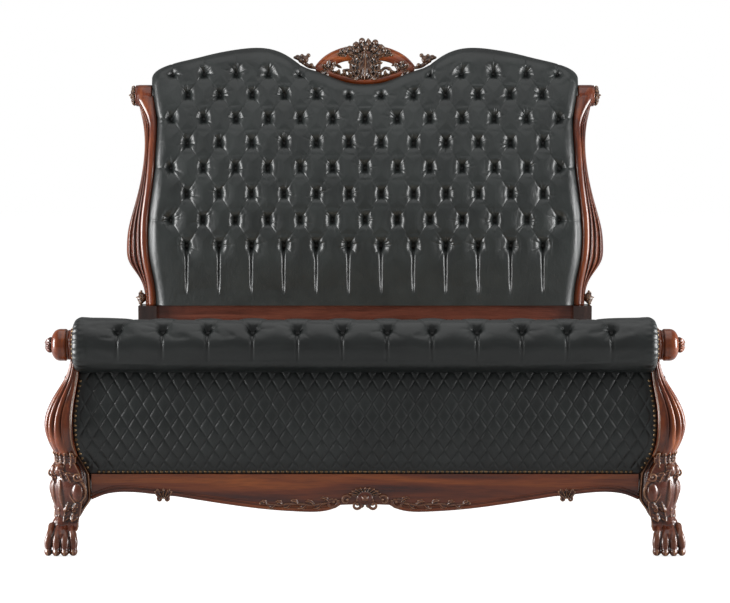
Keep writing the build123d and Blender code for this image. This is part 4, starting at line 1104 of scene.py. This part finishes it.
def paw_leg():
    z = np.linspace(0.085, 0.320, 60)[:, None]
    inner, rear = leg_inner(z), leg_rear(z)
    x, y = quarter_section(inner, leg_outer(z), leg_front(z), rear, 50)[:2]
    shank = sections(np.hstack([x, inner + 0.006]), np.hstack([y, Y_FOOT - rear]), z)
    return join(shank, leg_bracket(), *knee_carving(), *paw())


BRACKET_EDGE = [(0.124, 1.003), (0.145, 0.992), (0.165, 0.977), (0.183, 0.966), (0.200, 0.9635),
                (0.276, 0.969), (0.310, 0.986), (0.340, 1.004)]


def leg_bracket():
    """The web that joins the leg to the end of the apron, with a beaded edge."""
    z = np.linspace(0.124, 0.340, 60)
    inner = np.interp(z, *np.array(BRACKET_EDGE).T)
    outer = np.maximum(inner + 0.012, leg_inner(z) + 0.030)
    x = np.stack([inner, inner, inner + 0.003, outer, outer], -1)
    y = np.broadcast_to(Y_FOOT - np.array([0.078, 0.124, 0.127, 0.122, 0.078]), x.shape)
    bead = np.stack([inner + 0.005, np.full(60, Y_FOOT - 0.127), z], -1)
    beads = tube(bead, 0.0032, 8), tube(bead + (0.014, 0, 0), 0.0045 * taper(60), 8)
    return join(sections(x, y, z[:, None]), *beads)


def knee_carving():
    """Cabochons at the sides, scrolls and leaves above them, lobes between them and leaves at the ankle."""
    forms = []
    ring = ((-0.85, 0.35), (-0.2, 1.0), (0.6, 0.85), (1.0, 0.0), (0.6, -0.85), (-0.2, -1.0), (-0.85, -0.35))
    for a, z, size in ((0.05, 0.222, 1.0), (0.93, 0.222, 0.9)):
        place, normal = leg_point(z, a, -0.003)
        stone = ball((0, 0, 0), (0.020 * size, 0.013, 0.033 * size), 16, 24)
        forms.append(turned_to(stone, (0, -1, 0), normal, place))
        level = np.cross(normal, (0, 0, 1))
        path = [place + level * 0.027 * size * across + np.array([0, 0, 0.042 * size * up])
                for up, across in ring]
        forms.append(tube(smooth_path(path, 40), 0.0046 * taper(40, (0.7, 0.7)), 8, 1.0, normal))
        forms.append(scroll(place + normal * 0.004 + (0, 0, 0.056), 200, 560, 0.015, 0.004, 0.0062, normal))
    for a, top, foot, wide in ((0.36, 0.262, 0.150, 0.0125), (0.60, 0.268, 0.146, 0.0130),
                               (0.80, 0.250, 0.150, 0.011)):
        path = [leg_point(z, a + 0.03 * (z - foot) / 0.1, -0.004)[0] for z in np.linspace(foot, top, 8)]
        forms.append(tube(smooth_path(path, 30), wide * taper(30, (0.25, 0.5), 1.0, 0.6), 14))
    for a, z, wide in ((0.42, 0.296, 0.021), (0.72, 0.290, 0.018)):
        forms.append(ball(leg_point(z, a, -0.006)[0], (wide, wide, 0.024), 14, 20))
    for a, root, tip, wide in ((0.14, 0.258, 0.292, 0.032), (0.28, 0.262, 0.300, 0.026),
                               (0.55, 0.250, 0.286, 0.024), (0.20, 0.186, 0.150, 0.026),
                               (0.06, 0.184, 0.158, 0.022)):
        steps = (root, 0, 0.001), ((root + tip) / 2, 0.02, 0.008), (tip, 0.05, 0.012)
        forms.append(leg_leaf(a, steps, wide, 3, 20))
    for a in (0.1, 0.3, 0.5, 0.7, 0.9):
        forms.append(leg_leaf(a, ((0.152, 0, -0.001), (0.134, 0, 0.006), (0.114, 0, 0.011)), 0.032, 2, 18))
        forms.append(ball(leg_point(0.156, a, 0.001)[0], 0.008))
    return forms


def paw():
    """Four jointed toes with claws, a pad behind them and a heel."""
    low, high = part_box("footboard_paw_leg_right")
    x0, x1, y0 = 1.004, high[0] - 0.001, low[1]
    middle = (x0 + x1) / 2
    forms = [ball((middle, Y_FOOT - back, z), radii) for back, z, radii in
             ((0.155, 0.058, (0.050, 0.056, 0.044)), (0.138, 0.095, (0.042, 0.034, 0.040)),
              (0.118, 0.026, (0.046, 0.034, 0.025)))]
    for k in range(4):
        x, fan = x0 + 0.013 + (x1 - x0 - 0.026) * k / 3, (k - 1.5) * 0.005
        tip = y0 + 0.006 * abs(k - 1.5)
        knuckle = [(x - fan, Y_FOOT - 0.150, 0.096), (x - fan * 0.5, Y_FOOT - 0.192, 0.072),
                   (x, tip + 0.026, 0.042), (x, tip + 0.017, 0.016)]
        width = 0.0135 * (1 + 0.14 * np.cos(np.linspace(0, 2 * pi * 1.5, 24)))
        forms.append(tube(smooth_path(knuckle, 24), width, 14))
        forms.append(ball((x, tip + 0.020, 0.015), (0.0145, 0.017, 0.0148)))
        claw = [(x, tip + 0.010, 0.022), (x, tip + 0.004, 0.012), (x, tip + 0.006, 0.003)]
        forms.append(tube(smooth_path(claw, 10), 0.006 * np.linspace(1, 0.3, 10), 8))
    return forms


add_pair("fluted_post", footboard_post(), cherry_up, "cherry_wood", "footboard_post")
add_pair("gilt_bead", gilt_bead(), dark_carving, "carved_cherry")
add_pair("leaf_collar", leaf_collar(), carved_cherry, "carved_cherry", "footboard_leaf_collar", voxel=0.002)
add_pair("carved_paw_leg", paw_leg(), carved_cherry, "carved_cherry", "footboard_paw_leg", voxel=0.0022)


# ---------------------------------------------------------------- apron carvings
APRON_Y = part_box("footboard_apron")[0][1]
# The apron's lower edge from the cartouche out to its point, and on to the corner.
APRON_EDGE = [(0.086, 0.166), (0.118, 0.150), (0.150, 0.143), (0.230, 0.142), (0.300, 0.146), (0.473, 0.166),
              (0.664, 0.196)]
APRON_ARCH = [(0.664, 0.196), (0.750, 0.205), (0.837, 0.212), (0.900, 0.207), (0.962, 0.184)]


def apron_bead():
    """A bead along the apron's lower edge, and a finer one above it."""
    low, arch = (smooth_path(flat_points(points, APRON_Y - 0.001), count)
                 for points, count in ((APRON_EDGE, 80), (APRON_ARCH, 40)))
    line = np.vstack([low, arch[1:]])
    return join(tube(line + (0, 0, 0.007), 0.006, 10, 0.8), tube(line + (0, 0, 0.020), 0.0028, 8, 0.9))


def cartouche():
    """A boss in a fan of leaves, over scrolls and a pair of small leaves."""
    low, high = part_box("apron_cartouche")
    middle, y = (low[2] + high[2]) / 2, APRON_Y - 0.006
    forms = [ball((0, y + 0.002, middle + 0.004), (0.030, 0.014, 0.026), 14, 24)]
    for turn in np.linspace(-70, 70, 9):
        a = radians(90 - turn)
        path = [(x * cos(a), middle + 0.008 + z * sin(a))
                for x, z in ((0.018, 0.012), (0.040, 0.026), (0.060, 0.034))]
        forms.append(leaf(flat_points(path, y - 0.002), 0.016, 0.006, 1, cup=0.1, rows=14, across=9))
    for side in (-1, 1):
        start, end = 90, 90 + side * 400
        forms.append(scroll((side * 0.030, y - 0.002, low[2] + 0.018), start, end, 0.019, 0.005, 0.0065))
        start, end = 90 + side * 60, 90 - side * 290
        forms.append(scroll((side * 0.066, y - 0.001, middle - 0.004), start, end, 0.017, 0.005, 0.0055))
        path = [(side * 0.010, y - 0.004, low[2] + 0.020), (side * 0.012, y - 0.004, low[2] + 0.008)]
        forms.append(leaf(path, 0.016, 0.006, 1, rows=12, across=9))
    forms.append(ball((0, y - 0.010, middle + 0.004), 0.012))
    return join(*forms)


def leaf_spray():
    """Leaves on a wavy stem, running outwards from the cartouche."""
    y = APRON_Y - 0.003
    stem = [(0.100, 0.186), (0.140, 0.172), (0.190, 0.166), (0.250, 0.170), (0.310, 0.166), (0.368, 0.172)]
    path = smooth_path(flat_points(stem, y), 60)
    forms = [tube(path, 0.0045 * taper(60, (0.8, 0.2)), 8)]
    forms.append(scroll((0.116, y, 0.176), 160, 520, 0.022, 0.006, 0.0065))
    for k, t in enumerate(np.linspace(6, 54, 9).astype(int)):
        size, up = 0.034 * (1 - 0.04 * k), (-1) ** k
        steps = (0, 0, 0), (size * 0.45, -0.005, up * size * 0.38), (size * 0.95, 0, up * size * 0.42)
        forms.append(leaf([path[t] + step for step in steps], 0.018, 0.006, 3, rows=16, across=9))
    forms.append(ball(path[-1], 0.005))
    return join(*forms)


def apron_shell():
    """Five small leaves in a fan over two pairs of scrolls."""
    low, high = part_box("apron_shell_right")
    x, y, z = (low[0] + high[0]) / 2, APRON_Y - 0.004, (low[2] + high[2]) / 2
    forms = []
    for turn in (-58, -30, 0, 30, 58):
        a = radians(90 - turn)
        path = [(x + across * cos(a), z + drop + up * sin(a))
                for across, drop, up in ((0.006, -0.014, 0), (0.020, -0.012, 0.018), (0.034, -0.012, 0.036))]
        forms.append(leaf(flat_points(path, y - 0.003), 0.016, 0.006, 2, rows=14, across=9))
    for side in (-1, 1):
        forms.append(scroll((x + side * 0.012, y, low[2] + 0.010), 90, 90 - side * 300, 0.009, 0.004, 0.005))
        forms.append(scroll((x + side * 0.024, y, z + 0.008), 90, 90 + side * 300, 0.009, 0.004, 0.0045))
    return join(*forms)


add_pair("apron_bead", apron_bead(), cherry_across, "cherry_wood")
add("carved_cartouche", cartouche(), carved_cherry, "carved_cherry", "apron_cartouche", voxel=0.0016,
    soften=1)
for name, form, node in (("carved_spray", leaf_spray(), "apron_leaf_spray"),
                         ("carved_shell", apron_shell(), "apron_shell")):
    add_pair(name, form, carved_cherry, "carved_cherry", node, voxel=0.0016, soften=1)


# ---------------------------------------------------------------- room, lights and camera
def camera_share(tree):
    return tree.nodes.new("ShaderNodeLightPath").outputs["Is Camera Ray"]


def plain_floor():
    """A white floor: the camera sees it lit from below, as on a light table, with soft contact shadows."""
    n = Nodes("studio_floor")
    tone = n.noise(3.0)
    n.colour(n.ramp(tone, (0.3, (0.50, 0.50, 0.50)), (0.7, (0.52, 0.52, 0.52))))
    n.rough(tone, 0.8, 0.9)
    glow = n.node("ShaderNodeEmission", Strength=0.82)
    together, choice = n.node("ShaderNodeAddShader"), n.node("ShaderNodeMixShader")
    for source, target in ((n.shader.outputs[0], together.inputs[0]), (glow.outputs[0], together.inputs[1]),
                           (camera_share(n.tree), choice.inputs[0]), (n.shader.outputs[0], choice.inputs[1]),
                           (together.outputs[0], choice.inputs[2]),
                           (choice.outputs[0], n.tree.nodes["Material Output"].inputs["Surface"])):
        n.link(source, target)
    bpy.ops.mesh.primitive_plane_add(size=60, location=(0, 0, 0))
    floor = bpy.context.object
    floor.name = "studio_floor"
    floor.data.materials.append(n.material)


def area_light(name, place, target, size, power):
    data = bpy.data.lights.new(name, "AREA")
    data.shape = "RECTANGLE"
    data.size, data.size_y = size
    data.energy = power
    light = bpy.data.objects.new(name, data)
    light.location = place
    light.rotation_euler = (Vector(target) - Vector(place)).to_track_quat("-Z", "Y").to_euler()
    bpy.context.scene.collection.objects.link(light)


ROOM_LIGHT = 0.33           # what the bed sees of the room; the camera sees plain white


def studio():
    world = bpy.data.worlds.new("studio")
    bpy.context.scene.world = world
    world.use_nodes = True
    tree = world.node_tree
    strength = tree.nodes.new("ShaderNodeMapRange")
    strength.inputs["To Min"].default_value = ROOM_LIGHT
    strength.inputs["To Max"].default_value = 1.0
    tree.links.new(camera_share(tree), strength.inputs["Value"])
    tree.links.new(strength.outputs[0], tree.nodes["Background"].inputs["Strength"])
    tree.nodes["Background"].inputs["Color"].default_value = (1, 1, 1, 1)
    area_light("left_box", (-5.0, -1.25, 1.3), (0, 0.8, 1.1), (2.4, 2.4), 430)
    area_light("right_box", (5.0, -1.25, 1.3), (0, 0.8, 1.1), (2.4, 2.4), 370)
    area_light("overhead", (0, -1.4, 4.8), (0, -1.2, 0), (5.0, 6.0), 90)


CAMERA_DISTANCE = 6.88      # from the front of the footboard's posts
CAMERA_HEIGHT = 1.449
CAMERA_PITCH = 4.68         # degrees below the horizon
FOCAL_PIXELS = 1984.0
VIEW_WIDTH = 730


def camera():
    data = bpy.data.cameras.new("camera")
    data.sensor_width = 36
    data.lens = FOCAL_PIXELS / VIEW_WIDTH * data.sensor_width
    made = bpy.data.objects.new("camera", data)
    made.location = (0, Y_FOOT - 0.15 - CAMERA_DISTANCE, CAMERA_HEIGHT)
    made.rotation_euler = (radians(90 - CAMERA_PITCH), 0, 0)
    bpy.context.scene.collection.objects.link(made)
    bpy.context.scene.camera = made


plain_floor()
studio()
camera()
bpy.context.scene.view_settings.view_transform = "Standard"
